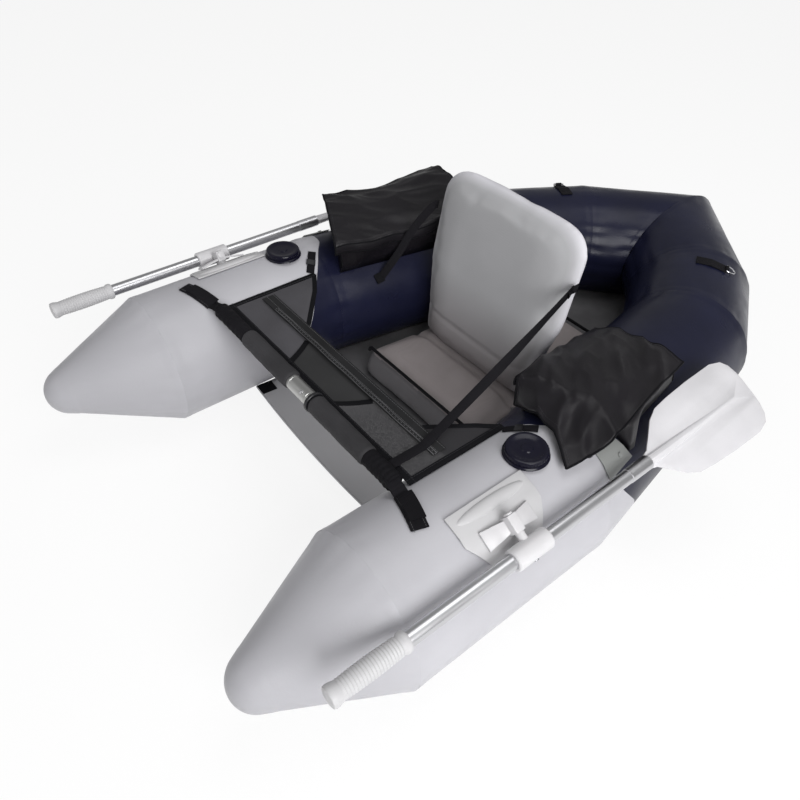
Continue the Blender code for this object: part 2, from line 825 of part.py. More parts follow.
def make_bar_strap(name, side, sleeve_start):
    """The fabric sleeve on the bar's end, with the strap that holds it over the tube."""
    centre = Vector((0.0, bar_y, bar_z))
    outward = Vector((1.0, 0.0, 0.0))
    outer_radius = rod_radius + gap + end_sleeve_wall
    shape = rod_shape(centre + outward * sleeve_start, centre + outward * bar_end(), outer_radius, bar_sides)
    bore_end = bar_end() - end_sleeve_cap
    bore = rod_shape(centre + outward * (sleeve_start - overrun), centre + outward * bore_end,
                     rod_radius + gap, bar_sides)
    root = bar_strap_root_half_width
    rings = []
    for x in (bar_end() - end_sleeve_cap / 2, bar_end() + bar_strap_rise):
        rings.append([
            Vector((x, bar_y - root, bar_z - root / 2)),
            Vector((x, bar_y + root, bar_z - root / 2)),
            Vector((x, bar_y + root, bar_z + root / 2)),
            Vector((x, bar_y - root, bar_z + root / 2)),
        ])
    stations = []
    for angle, ahead in (
        (bar_strap_inner_angle, bar_strap_inner_ahead),
        (bar_strap_outer_angle, bar_strap_outer_ahead),
    ):
        place = bar_y - ahead - seam_point.y
        stations.append((angle, place - bar_strap_half_width, place + bar_strap_half_width))
    rings += patch_rings(front_line, stations, gap, webbing_thickness)
    strap = loft(rings)
    if side < 0:
        for part in (shape, bore, strap):
            mirror_shape(part)
    piece = add_piece(name, shape, "webbing")
    add_tool(piece, strap, "UNION")
    add_tool(piece, bore, "DIFFERENCE")


# Apron, panel and straps
def make_apron():
    """The knee apron: a flat sheet from the bar to its cross strap, on the tubes' shoulders."""
    front = bar_y + rod_radius + gap + lock_ring_wall + gap
    rear = bar_y + cross_strap_behind_bar + cross_strap_half_width
    left = [
        Vector((apron_half_width - apron_notch_inset, rear, 0.0)),
        Vector((apron_half_width, bar_y + apron_side_behind_bar, 0.0)),
        Vector((apron_half_width, front, 0.0)),
    ]
    add_plate("apron", mirrored_outline(left), apron_underside, apron_thickness, "apron_mesh")


def make_cross_strap():
    centre_y = bar_y + cross_strap_behind_bar
    reach = apron_half_width - cross_strap_inset
    left = [
        Vector((reach, centre_y + cross_strap_half_width, 0.0)),
        Vector((reach, centre_y - cross_strap_half_width, 0.0)),
    ]
    add_plate("cross_strap", mirrored_outline(left), apron_top + gap, webbing_thickness, "webbing")


def make_bottom_spreader():
    """The sheet between the tubes' undersides, below the bar, with a bowed front edge."""
    reach = tube_spread - tube_half_width(floor_top) - 2 * gap
    left = [Vector((reach, bar_y + spreader_rear_behind_bar, 0.0))]
    for share in spreader_half_shares:
        bow = spreader_side_behind_bar - spreader_middle_behind_bar
        y = bar_y + spreader_middle_behind_bar + bow * share * share
        left.append(Vector((reach * share, y, 0.0)))
    add_plate("bottom_spreader", mirrored_outline(left), floor_underside, floor_thickness, "panel_pvc")


def make_apron_straps():
    """Webbing from the apron's rear corners up over the front tubes."""
    stations = []
    for angle, ahead in (
        (apron_strap_inner_angle, apron_strap_inner_ahead_of_bend),
        (apron_strap_outer_angle, apron_strap_outer_ahead_of_bend),
    ):
        place = front_tube_length - ahead
        stations.append((angle, place - apron_strap_half_width, place + apron_strap_half_width))
    rings = patch_rings(front_line, stations, gap, webbing_thickness)
    add_mirrored(add_piece("apron_strap_left", loft(rings), "webbing"))


def strap_rings(route, half_width, thickness):
    """Sections of a flat strap along a route: its width lies fore and aft or up and down."""
    rings = []
    for index, (point, wide) in enumerate(route):
        before = route[max(index - 1, 0)][0]
        after = route[min(index + 1, len(route) - 1)][0]
        along = (after - before).normalized()
        across = (wide - along * wide.dot(along)).normalized()
        normal = along.cross(across)
        half = thickness / 2
        rings.append([
            point - across * half_width - normal * half,
            point + across * half_width - normal * half,
            point + across * half_width + normal * half,
            point - across * half_width + normal * half,
        ])
    return rings


def make_backrest_straps():
    """The left strap runs to the bar. The right one is unclipped and hangs on the tube's side."""
    up = Vector((0.0, 0.0, 1.0))
    outward = Vector((1.0, 0.0, 0.0))
    half = back_strap_thickness / 2
    edge = back_top_half_width + gap + half
    anchor_y = back_face_y(back_strap_height) + back_strap_behind_face
    anchor = Vector((edge, anchor_y, back_underside + back_strap_height))
    tail = anchor + Vector((0.0, 2 * back_strap_half_width, half))
    end_y = bar_y + rod_radius + gap + end_sleeve_wall + gap
    flat_height = apron_top + gap + webbing_thickness + gap + half
    offset = apron_half_width - back_strap_inset
    landing = Vector((offset, bar_y + back_strap_landing_behind_bar, flat_height))
    end = Vector((offset, end_y, flat_height))
    route = [(tail, up), (anchor, up), (landing, outward), (end, outward)]
    add_piece("backrest_strap_left", loft(strap_rings(route, back_strap_half_width, back_strap_thickness)),
              "webbing")
    rest = side_line.skin(loose_strap_behind_bend, loose_strap_angle, loose_strap_lift)
    middle = (anchor + rest) / 2
    route = [(tail, up), (anchor, up), (middle, up + outward), (rest, outward)]
    loose = loft(strap_rings(route, back_strap_half_width, back_strap_thickness))
    mirror_shape(loose)
    add_piece("backrest_strap_right", loose, "webbing")


# Valves
def valve_centre():
    return Vector((tube_spread, bend_y - valve_ahead_of_bend, tube_top + gap))


def make_valves():
    up = Vector((0.0, 0.0, 1.0))
    body_profile = [
        (valve_flange_radius - valve_cap_rounding, valve_flange_thickness),
        (valve_flange_radius, valve_flange_thickness - valve_cap_rounding),
        (valve_flange_radius, 0.0),
        (valve_stem_radius, 0.0),
        (valve_stem_radius, -valve_stem_depth),
        (valve_bore_radius, -valve_stem_depth),
        (valve_bore_radius, valve_flange_thickness),
    ]
    body = add_turned("valve_body_left", body_profile, valve_centre(), up, "navy_plastic", tube_sides)
    cap_profile = [
        (0.0, valve_cap_height),
        (valve_cap_radius - valve_cap_rounding, valve_cap_height),
        (valve_cap_radius, valve_cap_height - valve_cap_rounding),
        (valve_cap_radius, 0.0),
        (0.0, 0.0),
    ]
    seat = valve_centre() + up * (valve_flange_thickness + gap)
    cap = add_turned("valve_cap_left", cap_profile, seat, up, "navy_plastic", tube_sides, closed=False)
    add_mirrored(body)
    add_mirrored(cap)


# Pockets
def pocket_top(rises, height_shares, share, sag_share):
    """The top of a pocket across the tube, outer edge first, as (across, height) pairs."""
    rise = rises[0] + share * (rises[1] - rises[0])
    top = []
    for index, (across, height_share) in enumerate(zip(pocket_across, height_shares)):
        sag = pocket_end_sag * sag_share * index / (len(pocket_across) - 1)
        top.append((across, tube_top + rise * height_share - sag))
    return top


def make_pocket(side, start, length, skew, rises, height_shares):
    """A closed bag on a side tube, its foot cut to the tube, and its hinged flap."""
    rings = []
    lid_rings = []
    foot = [station[0] for station in patch_stations([
        (pocket_inner_angle, 0.0, 0.0), (pocket_outer_angle, 0.0, 0.0)])]
    for share, sag_share in zip(pocket_row_shares, pocket_sag_shares):
        middle = start + share * length
        slant = skew * (1 - share)
        top = pocket_top(rises, height_shares, share, sag_share)
        ring = []
        for angle in foot:
            along = middle + slant * tube_radius * math.sin(angle)
            ring.append(side_line.skin(along, angle, gap))
        ring += [side_line.at(middle + slant * across, across, height) for across, height in top]
        rings.append(ring)
        end = {0.0: -1, 1.0: 1}.get(share, 0)
        under = []
        over = []
        for index, (across, height) in enumerate(top):
            corner_share = index / (len(top) - 1)
            overhang = lid_end_overhang + corner_share * (lid_corner_overhang - lid_end_overhang)
            inner_edge = index == len(top) - 1
            clear = lid_clearance if inner_edge else 0.0
            wall = lid_thickness if inner_edge else 0.0
            low = height + lid_clearance
            along = middle + slant * across + end * overhang
            under.append(side_line.at(along, across - clear, low))
            over.append(side_line.at(along, across - clear - wall, low + lid_thickness))
        drop = Vector((0.0, 0.0, -lid_lip))
        under.append(under[-1] + drop)
        over.append(over[-1] + drop)
        lid_rings.append(under + over[::-1])
    rise = (rises[0] + rises[1]) / 2 * height_shares[0]
    hinge = side_line.at(
        start + length / 2 + skew / 2 * pocket_across[0], pocket_across[0] + lid_hinge_offset,
        tube_top + rise + lid_clearance + lid_thickness / 2)
    bag = loft(rings)
    lid = loft(lid_rings)
    if side == "right":
        hinge.x = -hinge.x
        for shape in (bag, lid):
            mirror_shape(shape)
    add_piece("pocket_" + side, bag, "bag_nylon")
    add_piece("pocket_lid_" + side, lid, "bag_nylon", hinge)


# Oars
swing_axis = Vector((math.sin(lock_tilt), 0.0, math.cos(lock_tilt)))
stud_axis = Vector((math.cos(lock_tilt), 0.0, -math.sin(lock_tilt)))
oar_axis = Vector((0.0, 1.0, 0.0))
oar_reach = tube_radius + oar_off_skin
oar_point = Vector((
    tube_spread + oar_reach * math.sin(oar_angle),
    bend_y - oar_ahead_of_bend,
    tube_radius + oar_reach * math.cos(oar_angle),
))
pin_point = oar_point - stud_axis * pin_offset


def make_oar_shafts():
    bore = shaft_radius - shaft_wall
    shaft_front = -grip_end_ahead + grip_end_wall + gap
    shaft_rear = blade_neck_behind - gap
    shaft = add_turned(
        "oar_shaft_left", pipe_profile(shaft_radius, bore, shaft_rear, shaft_front), oar_point,
        oar_axis, "aluminium", 16)
    grip_rear = -grip_end_ahead + grip_length
    grip_front = -grip_end_ahead
    grip_bore = shaft_radius + gap
    grip_profile = [
        (grip_bore, grip_rear),
        (grip_radius, grip_rear),
        (grip_radius, grip_front + grip_rounding),
        (grip_radius - grip_rounding, grip_front),
        (0.0, grip_front),
        (0.0, grip_front + grip_end_wall),
        (grip_bore, grip_front + grip_end_wall),
    ]
    grip = add_turned(
        "oar_grip_left", grip_profile, oar_point, oar_axis, "blade_plastic", 16)
    add_mirrored(shaft)
    add_mirrored(grip)


def make_oar_blades():
    """A flat blade with a raised spine on both faces and a spigot that enters the shaft."""
    across_axis = Vector((math.cos(blade_tilt), 0.0, -math.sin(blade_tilt)))
    face_axis = Vector((math.sin(blade_tilt), 0.0, math.cos(blade_tilt)))
    rings = []
    for share, width_share in zip(blade_row_shares, blade_half_width_shares):
        y = share * blade_length
        half_width = blade_width / 2 * width_share
        taper = max(0.0, 1 - y / spine_length)
        spine = max(spine_radius * math.sqrt(taper), blade_half_thickness)
        body = blade_half_thickness
        middle = (half_width + spine) / 2
        upper = [
            (half_width, blade_edge_half_thickness),
            (middle, body),
            (spine, body),
            (spine * math.cos(math.pi / 4), max(body, spine * math.sin(math.pi / 4))),
            (0.0, max(body, spine)),
        ]
        upper += [(-across, depth) for across, depth in reversed(upper[:-1])]
        outline = upper + [(across, -depth) for across, depth in reversed(upper)]
        centre = oar_point + oar_axis * (blade_neck_behind + y)
        rings.append([centre + across_axis * across + face_axis * depth for across, depth in outline])
    blade = add_piece("oar_blade_left", loft(rings), "blade_plastic", oar_point)
    neck = oar_point + oar_axis * blade_neck_behind
    spigot = rod_shape(
        neck - oar_axis * blade_spigot_length, neck + oar_axis * overrun,
        shaft_radius - shaft_wall - gap, 16)
    add_tool(blade, spigot, "UNION")
    add_mirrored(blade)


def make_oar_collars():
    """The collar that the shaft turns in, with the stud that the oar rocks on."""
    half = collar_length / 2
    bore = shaft_radius + gap
    profile = [
        (bore, half),
        (collar_radius - collar_rounding, half),
        (collar_radius, half - collar_rounding),
        (collar_radius, -half + collar_rounding),
        (collar_radius - collar_rounding, -half),
        (bore, -half),
    ]
    collar = add_turned("oar_collar_left", profile, oar_point, oar_axis, "white_plastic", bar_sides)
    wall_middle = (collar_radius + bore) / 2
    hub_face = pin_offset - hub_half_length
    hub_rear = pin_offset + hub_half_length
    head_end = hub_rear + gap + stud_head_thickness
    shoulder = rod_shape(
        oar_point - stud_axis * wall_middle, oar_point - stud_axis * (hub_face - gap),
        stud_shoulder_radius)
    stud = rod_shape(
        oar_point - stud_axis * wall_middle, oar_point - stud_axis * head_end, stud_radius)
    head = rod_shape(
        oar_point - stud_axis * (hub_rear + gap), oar_point - stud_axis * head_end,
        stud_head_radius)
    recess_floor = collar_radius - screw_recess_depth
    recess = rod_shape(
        oar_point + stud_axis * recess_floor, oar_point + stud_axis * (collar_radius + overrun),
        screw_recess_radius)
    add_tool(collar, shoulder, "UNION")
    add_tool(collar, stud, "UNION")
    add_tool(collar, head, "UNION")
    add_tool(collar, recess, "DIFFERENCE")
    screw_seat = oar_point + stud_axis * (recess_floor + gap)
    screw_profile = [
        (0.0, screw_length - screw_socket_depth),
        (screw_socket_radius, screw_length - screw_socket_depth),
        (screw_socket_radius, screw_length),
        (screw_radius, screw_length),
        (screw_radius, 0.0),
        (0.0, 0.0),
    ]
    screw = add_turned(
        "collar_screw_left", screw_profile, screw_seat, stud_axis, "steel", 16, closed=False)
    add_mirrored(collar)
    add_mirrored(screw)


# Oarlocks
def lock_place(outward, along, up):
    """A point in the oarlock's own frame: out along the stud, aft, and up the pin."""
    return pin_point + stud_axis * outward + oar_axis * along + swing_axis * up


def skin_below_pin():
    """How far the front tube's skin lies below the stud, measured down the pin."""
    foot = pin_point - Vector((tube_spread, pin_point.y, tube_radius))
    angle = math.atan2(foot.x, foot.z)
    facet_angle = round(angle / facet) * facet
    normal = Vector((math.sin(facet_angle), 0.0, math.cos(facet_angle)))
    return (foot.dot(normal) - tube_radius) / swing_axis.dot(normal)


def boss_top():
    return -skin_below_pin() + base_thickness + base_boss_height


def make_oarlock_bases():
    """A rubber patch on the tube with a long hump, and a boss for the pin."""
    place = oar_point.y - seam_point.y
    stations = [
        (base_inner_angle, place - base_inner_half_length, place + base_inner_half_length),
        ((base_inner_angle + base_outer_angle) / 2, place - base_inner_half_length,
         place + base_inner_half_length),
        (base_outer_angle, place - base_outer_half_length, place + base_outer_half_length),
    ]
    base = add_piece(
        "oarlock_base_left", loft(patch_rings(front_line, stations, gap, base_thickness)),
        "grey_rubber")
    hump_centre = front_line.skin(place, hump_angle, base_thickness / 2)
    normal = Vector((math.sin(hump_angle), 0.0, math.cos(hump_angle)))
    across = Vector((normal.z, 0.0, -normal.x))
    turn = Matrix([list(axis) for axis in (across, oar_axis, normal)]).transposed().to_4x4()
    sizes = (hump_half_width, hump_half_length, hump_height)
    hump = bmesh.new()
    bmesh.ops.create_uvsphere(
        hump, u_segments=16, v_segments=10, radius=1.0,
        matrix=Matrix.Translation(hump_centre) @ turn @ Matrix.Diagonal((*sizes, 1.0)))
    bmesh.ops.bisect_plane(
        hump, geom=hump.verts[:] + hump.edges[:] + hump.faces[:], plane_co=hump_centre,
        plane_no=normal, clear_inner=True)
    bmesh.ops.holes_fill(hump, edges=hump.edges)
    bmesh.ops.recalc_face_normals(hump, faces=hump.faces)
    add_tool(base, hump, "UNION")
    boss_foot = -skin_below_pin() + base_thickness / 2
    boss = rod_shape(lock_place(0, 0, boss_foot), lock_place(0, 0, boss_top()), base_boss_radius)
    add_tool(base, boss, "UNION")
    hole = rod_shape(
        lock_place(0, 0, boss_top() - lock_pin_depth - gap), lock_place(0, 0, boss_top() + overrun),
        lock_pin_radius + gap)
    add_tool(base, hole, "DIFFERENCE")
    add_mirrored(base)


def make_oarlock_pins():
    pin_profile = [
        (0.0, lock_pin_depth + lock_pin_reach),
        (lock_pin_radius, lock_pin_depth + lock_pin_reach),
        (lock_pin_radius, 0.0),
        (0.0, 0.0),
    ]
    foot = lock_place(0, 0, boss_top() - lock_pin_depth)
    pin = add_turned("oarlock_pin_left", pin_profile, foot, swing_axis, "steel", 16, closed=False)
    add_mirrored(pin)


def make_oarlock_yokes():
    """A hub with two drooping wings, bored for the pin from below and for the stud across."""
    hub_foot = boss_top() + gap
    hub_middle = (hub_foot + hub_above_stud) / 2
    hub_sizes = (hub_half_length, hub_half_width, (hub_above_stud - hub_foot) / 2)
    axes = (stud_axis, oar_axis, swing_axis)
    yoke = add_piece(
        "oarlock_yoke_left", block_shape(lock_place(0, 0, hub_middle), hub_sizes, axes),
        "white_plastic", pin_point)
    wing_rows = [
        (-wing_span, wing_tip_half_width, wing_tip_droop),
        (-wing_span / 2, (wing_tip_half_width + wing_root_half_width) / 2, wing_tip_droop / 3),
        (-hub_half_width / 2, wing_root_half_width, 0.0),
        (hub_half_width / 2, wing_root_half_width, 0.0),
        (wing_span / 2, (wing_tip_half_width + wing_root_half_width) / 2, wing_tip_droop / 3),
        (wing_span, wing_tip_half_width, wing_tip_droop),
    ]
    rings = []
    for along, half_width, droop in wing_rows:
        top = -wing_root_height - droop
        rings.append([
            lock_place(-half_width, along, top - wing_thickness),
            lock_place(half_width, along, top - wing_thickness),
            lock_place(half_width, along, top),
            lock_place(-half_width, along, top),
        ])
    add_tool(yoke, loft(rings), "UNION")
    pin_hole = rod_shape(
        lock_place(0, 0, hub_foot - overrun), lock_place(0, 0, boss_top() + lock_pin_reach + gap),
        lock_pin_radius + gap)
    stud_hole = rod_shape(
        lock_place(-hub_half_length - overrun, 0, 0), lock_place(hub_half_length + overrun, 0, 0),
        stud_radius + gap)
    add_tool(yoke, pin_hole, "DIFFERENCE")
    add_tool(yoke, stud_hole, "DIFFERENCE")
    add_mirrored(yoke)


# Oar clips and D-rings
def make_oar_clips():
    stations = [
        (clip_inner_angle, clip_inner_start, clip_inner_start + clip_inner_length),
        (clip_outer_angle, clip_outer_start, clip_outer_start + clip_outer_length),
    ]
    clip = add_piece(
        "oar_clip_left", loft(patch_rings(side_line, stations, gap, clip_thickness)), "grey_rubber")
    stud = rod_shape(
        side_line.skin(clip_stud_place, clip_stud_angle, clip_thickness / 2),
        side_line.skin(clip_stud_place, clip_stud_angle, clip_thickness + clip_stud_height),
        clip_stud_radius)
    add_tool(clip, stud, "UNION")
    add_mirrored(clip)


def make_d_rings():
    """A webbing patch across the quarter tube, with a loop that holds the ring's straight side."""
    stations = [
        (ring_patch_inner_angle, ring_place - ring_patch_half_width,
         ring_place + ring_patch_half_width),
        (ring_patch_outer_angle, ring_place - ring_patch_half_width,
         ring_place + ring_patch_half_width),
    ]
    patch = add_piece(
        "d_ring_patch_left",
        loft(patch_rings(quarter_line, stations, gap, ring_patch_thickness)), "webbing")
    loop_lift = gap + ring_loop_radius
    centre = quarter_line.skin(ring_place, ring_patch_outer_angle, loop_lift)
    along = quarter_line.along
    loop = rod_shape(centre - along * ring_loop_half_length, centre + along * ring_loop_half_length,
                     ring_loop_radius)
    bore = rod_shape(centre - along * ring_patch_half_width * 2, centre + along * ring_patch_half_width * 2,
                     ring_wire_radius + gap)
    add_tool(patch, loop, "UNION")
    add_tool(patch, bore, "DIFFERENCE")

    slope = ring_patch_outer_angle
    outward = quarter_line.outboard * math.cos(slope) - Vector((0.0, 0.0, math.sin(slope)))
    route = [(-ring_half_width, 0.0), (ring_half_width, 0.0)]
    for index in range(ring_arc_points):
        angle = math.pi * (index + 0.5) / ring_arc_points
        route.append((ring_half_width * math.cos(angle), ring_depth * math.sin(angle)))
    curve = bpy.data.curves.new("d_ring_left", "CURVE")
    curve.dimensions = "3D"
    curve.bevel_depth = ring_wire_radius
    curve.bevel_resolution = 2
    curve.render_resolution_u = 0
    spline = curve.splines.new("POLY")
    spline.points.add(len(route) - 1)
    spline.use_cyclic_u = True
    for point, (sideways, out) in zip(spline.points, route):
        point.co = (*(along * sideways + outward * out), 1.0)
    curve.materials.append(finish_material("d_ring_left", "steel"))
    ring = bpy.data.objects.new("d_ring_left", curve)
    ring.location = centre
    parts.objects.link(ring)
    add_mirrored(patch)
    add_mirrored(ring)


make_air_tubes()
make_stern_bulkhead()
make_cargo_floor()
make_seat_cushion()
make_backrest()
make_front_bar()
make_apron()
make_cross_strap()
make_bottom_spreader()
make_apron_straps()
make_backrest_straps()
make_valves()
make_pocket("left", left_pocket_start, left_pocket_length, left_pocket_skew, left_pocket_rises,
            left_pocket_height_shares)
make_pocket("right", right_pocket_start, right_pocket_length, right_pocket_skew,
            right_pocket_rises, right_pocket_height_shares)
make_oar_shafts()
make_oar_blades()
make_oar_collars()
make_oarlock_bases()
make_oarlock_pins()
make_oarlock_yokes()
make_oar_clips()
make_d_rings()
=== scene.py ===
from math import asin, atan2, copysign, cos, exp, hypot, pi, radians, sin, sqrt, tan

import bmesh
import bpy
import numpy as np
from mathutils import Matrix, Vector, noise


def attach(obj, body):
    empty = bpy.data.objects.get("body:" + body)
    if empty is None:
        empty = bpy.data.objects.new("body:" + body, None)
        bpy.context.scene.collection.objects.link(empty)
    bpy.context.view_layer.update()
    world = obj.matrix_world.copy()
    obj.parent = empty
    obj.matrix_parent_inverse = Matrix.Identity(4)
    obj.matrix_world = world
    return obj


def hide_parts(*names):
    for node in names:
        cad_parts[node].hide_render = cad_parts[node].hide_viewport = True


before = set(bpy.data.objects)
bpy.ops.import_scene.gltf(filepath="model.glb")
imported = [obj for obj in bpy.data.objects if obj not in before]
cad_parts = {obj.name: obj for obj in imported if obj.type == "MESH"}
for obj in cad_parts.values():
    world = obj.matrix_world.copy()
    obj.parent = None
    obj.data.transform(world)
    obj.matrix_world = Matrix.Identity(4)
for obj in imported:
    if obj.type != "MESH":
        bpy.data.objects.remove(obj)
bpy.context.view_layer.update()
scene = bpy.context.scene


def xyz(x, y, z):
    return Vector((x, y, z))


def turns(count):
    # angles spread evenly round a full turn
    return np.linspace(0, 2 * pi, count, endpoint=False)


up = xyz(0, 0, 1)

# The boat's main lines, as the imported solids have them. x is taken for the left half.
boat = {
    "radius": 0.145,
    "noseY": -0.8955,
    "tipRadius": 0.050,
    "tipRise": 0.012,
    "runs": {
        "front": ((0.388, -0.6580), 0.0),
        "side": ((0.388, -0.2400), 9.9),
        "quarter": ((0.28691, 0.33924), 30.0),
        "stern": ((0.18191, 0.52111), 46.3),
    },
    "apex": (0.0, 0.69494),
}


# Helpers for places on the tubes
def headingOf(run):
    turn = radians(boat["runs"][run][1])
    return xyz(-sin(turn), cos(turn), 0)


def outboardOf(run):
    turn = radians(boat["runs"][run][1])
    return xyz(cos(turn), sin(turn), 0)


def startOf(run):
    x, y = boat["runs"][run][0]
    return xyz(x, y, boat["radius"])


def skinAt(run, along, angle, lift=0.0):
    # a point on the tube's skin; the angle is from straight up, in radians
    reach = boat["radius"] + lift
    across = outboardOf(run) * (reach * sin(angle))
    return startOf(run) + headingOf(run) * along + across + up * (reach * cos(angle))


# Helpers for meshes
mergeDistance = 0.00001


def addPiece(name, data):
    piece = bpy.data.objects.new(name, data)
    scene.collection.objects.link(piece)
    return piece


def buildMesh(name, points, faces, material):
    mesh = bpy.data.meshes.new(name)
    mesh.from_pydata([tuple(point) for point in points], [], faces)
    mesh.validate()
    for entry in material if isinstance(material, list) else [material]:
        mesh.materials.append(entry)
    mesh.shade_smooth()
    return addPiece(name, mesh)


def fixNormals(piece):
    shape = bmesh.new()
    shape.from_mesh(piece.data)
    bmesh.ops.remove_doubles(shape, verts=shape.verts, dist=mergeDistance)
    bmesh.ops.recalc_face_normals(shape, faces=shape.faces)
    shape.to_mesh(piece.data)
    shape.free()
    return piece


def skinRows(name, rows, material, closed=True, caps=True):
    # a skin over rows with the same number of points; a closed row is a ring
    count = len(rows[0])
    points = [point for row in rows for point in row]
    faces = []
    for index in range(len(rows) - 1):
        low, high = index * count, (index + 1) * count
        for step in range(count if closed else count - 1):
            after = (step + 1) % count
            faces.append((low + step, low + after, high + after, high + step))
    if closed and caps:
        faces.append(tuple(range(count - 1, -1, -1)))
        faces.append(tuple(range((len(rows) - 1) * count, len(rows) * count)))
    return fixNormals(buildMesh(name, points, faces, material))


def addModifier(piece, kind, **values):
    modifier = piece.modifiers.new(kind.title(), kind)
    for key, value in values.items():
        setattr(modifier, key, value)


def bake(piece):
    # turn what the modifiers make into a plain mesh
    graph = bpy.context.evaluated_depsgraph_get()
    mesh = bpy.data.meshes.new_from_object(piece.evaluated_get(graph))
    piece.modifiers.clear()
    piece.data = mesh
    return piece


def thicken(sheet, thickness):
    addModifier(sheet, "SOLIDIFY", thickness=thickness, offset=0)
    return bake(sheet)


def paintPoints(piece, name, values):
    # a number on each point, which a material reads by its name
    piece.data.attributes.new(name, "FLOAT", "POINT").data.foreach_set("value", values)


def joinPieces(name, pieces):
    shape = bmesh.new()
    materials = []
    for piece in pieces:
        slots = []
        for material in piece.data.materials:
            if material not in materials:
                materials.append(material)
            slots.append(materials.index(material))
        part = piece.data.copy()
        for face in part.polygons:
            face.material_index = slots[face.material_index] if slots else 0
        part.transform(piece.matrix_world)
        shape.from_mesh(part)
        bpy.data.meshes.remove(part)
    mesh = bpy.data.meshes.new(name)
    shape.to_mesh(mesh)
    shape.free()
    for material in materials:
        mesh.materials.append(material)
    joined = addPiece(name, mesh)
    for piece in pieces:
        bpy.data.objects.remove(piece)
    return joined


def mirrorPiece(piece, name):
    mesh = piece.data.copy()
    mesh.transform(Matrix.Diagonal((-1, 1, 1, 1)))
    mesh.flip_normals()
    return addPiece(name, mesh)


def cadCopy(node, name, material):
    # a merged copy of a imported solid, to be rounded and finished
    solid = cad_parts[node]
    mesh = solid.data.copy()
    mesh.transform(solid.matrix_world)
    mesh.materials.clear()
    mesh.materials.append(material)
    shape = bmesh.new()
    shape.from_mesh(mesh)
    bmesh.ops.remove_doubles(shape, verts=shape.verts, dist=2 * mergeDistance)
    bmesh.ops.dissolve_limit(shape, angle_limit=radians(1), verts=shape.verts, edges=shape.edges)
    shape.to_mesh(mesh)
    shape.free()
    return addPiece(name, mesh)


def install(piece, body):
    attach(piece, body)


def standFor(piece, body, node):
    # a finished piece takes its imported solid's place
    install(piece, body)
    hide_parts(node)


def standForBoth(piece, body, node):
    # the left piece and its mirror image take the places of both solids
    twin = mirrorPiece(piece, piece.name.split(".")[0].replace("Left", "Right"))
    for side, each in (("left", piece), ("right", twin)):
        standFor(each, body if body == "hull" else f"{body}_{side}", f"{node}_{side}")


def dress(node, material):
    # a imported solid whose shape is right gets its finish
    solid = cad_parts[node]
    solid.data.materials.clear()
    solid.data.materials.append(material)


def wayAlong(path, index):
    return (path[min(index + 1, len(path) - 1)] - path[max(index - 1, 0)]).normalized()


def tubeAlong(name, path, radius, material, sides=8):
    # a round cord or rim along a path of points
    rows = []
    normal = None
    for index, point in enumerate(path):
        along = wayAlong(path, index)
        if normal is None:
            normal = along.orthogonal().normalized()
        normal = (normal - along * normal.dot(along)).normalized()
        side = along.cross(normal)
        rows.append([point + (normal * cos(turn) + side * sin(turn)) * radius for turn in turns(sides)])
    return skinRows(name, rows, material)


def turned(name, profile, origin, axis, material, sides=48):
    # a closed shape turned about an axis, from (radius, place along the axis) pairs
    turn = axis.to_track_quat("Z", "Y").to_matrix()
    rows = []
    for radius, height in profile:
        rows.append([
            origin + turn @ xyz(radius * cos(angle), radius * sin(angle), height)
            for angle in turns(sides)
        ])
    hollow = profile[0][0] > 0 and (Vector(profile[0]) - Vector(profile[-1])).length < 0.00001
    piece = skinRows(name, rows, material, caps=not hollow)
    piece.data.set_sharp_from_angle(angle=radians(38))
    return piece


def smoothPath(points, count):
    # a rounded path through a few points
    points = [Vector(point) for point in points]
    result = []
    for place in np.linspace(0, len(points) - 1, count):
        index = min(int(place), len(points) - 2)
        share = place - index
        first = points[max(index - 1, 0)]
        last = points[min(index + 2, len(points) - 1)]
        low, high = points[index], points[index + 1]
        result.append(0.5 * (
            2 * low + (high - first) * share
            + (2 * first - 5 * low + 4 * high - last) * share ** 2
            + (3 * low - first - 3 * high + last) * share ** 3))
    return result


def ribbon(name, path, widthWays, halfWidth, thickness, material):
    # a flat strap along a path, with its width turned by the given ways and its edges eased
    edge = 0.8
    flat = edge * 1.15
    section = [(-1, -edge), (-flat, -1), (flat, -1), (1, -edge), (1, edge), (flat, 1), (-flat, 1), (-1, edge)]
    half = thickness / 2
    rows = []
    for index, point in enumerate(path):
        along = wayAlong(path, index)
        wide = widthWays[index] if isinstance(widthWays, list) else widthWays
        wide = (wide - along * wide.dot(along)).normalized()
        normal = along.cross(wide)
        rows.append([
            point + wide * (halfWidth * across) + normal * (half * depth)
            for across, depth in section
        ])
    piece = skinRows(name, rows, material)
    piece.data.set_sharp_from_angle(angle=radians(50))
    return piece


# Materials
def shaderOf(material):
    return material.node_tree.nodes["Principled BSDF"]


def startMaterial(name, colour, roughness, **sockets):
    material = bpy.data.materials.new(name)
    material.use_nodes = True
    shader = shaderOf(material)
    shader.inputs["Base Color"].default_value = (*colour, 1)
    shader.inputs["Roughness"].default_value = roughness
    for socket, value in sockets.items():
        shader.inputs[socket.replace("_", " ")].default_value = value
    return material


def feed(material, socket, value):
    # link a node's output to a socket, or set the socket's own value
    if hasattr(value, "is_output"):
        material.node_tree.links.new(value, socket)
    else:
        socket.default_value = value


def addNode(material, kind, **inputs):
    node = material.node_tree.nodes.new("ShaderNode" + kind)
    for key, value in inputs.items():
        feed(material, node.inputs[key.replace("_", " ")], value)
    return node


def placeOf(material):
    return addNode(material, "TexCoord").outputs["Object"]


def axisOf(material, axis):
    return addNode(material, "SeparateXYZ", Vector=placeOf(material)).outputs[axis]


def attributeOf(material, name):
    node = addNode(material, "Attribute")
    node.attribute_name = name
    return node.outputs["Fac"]


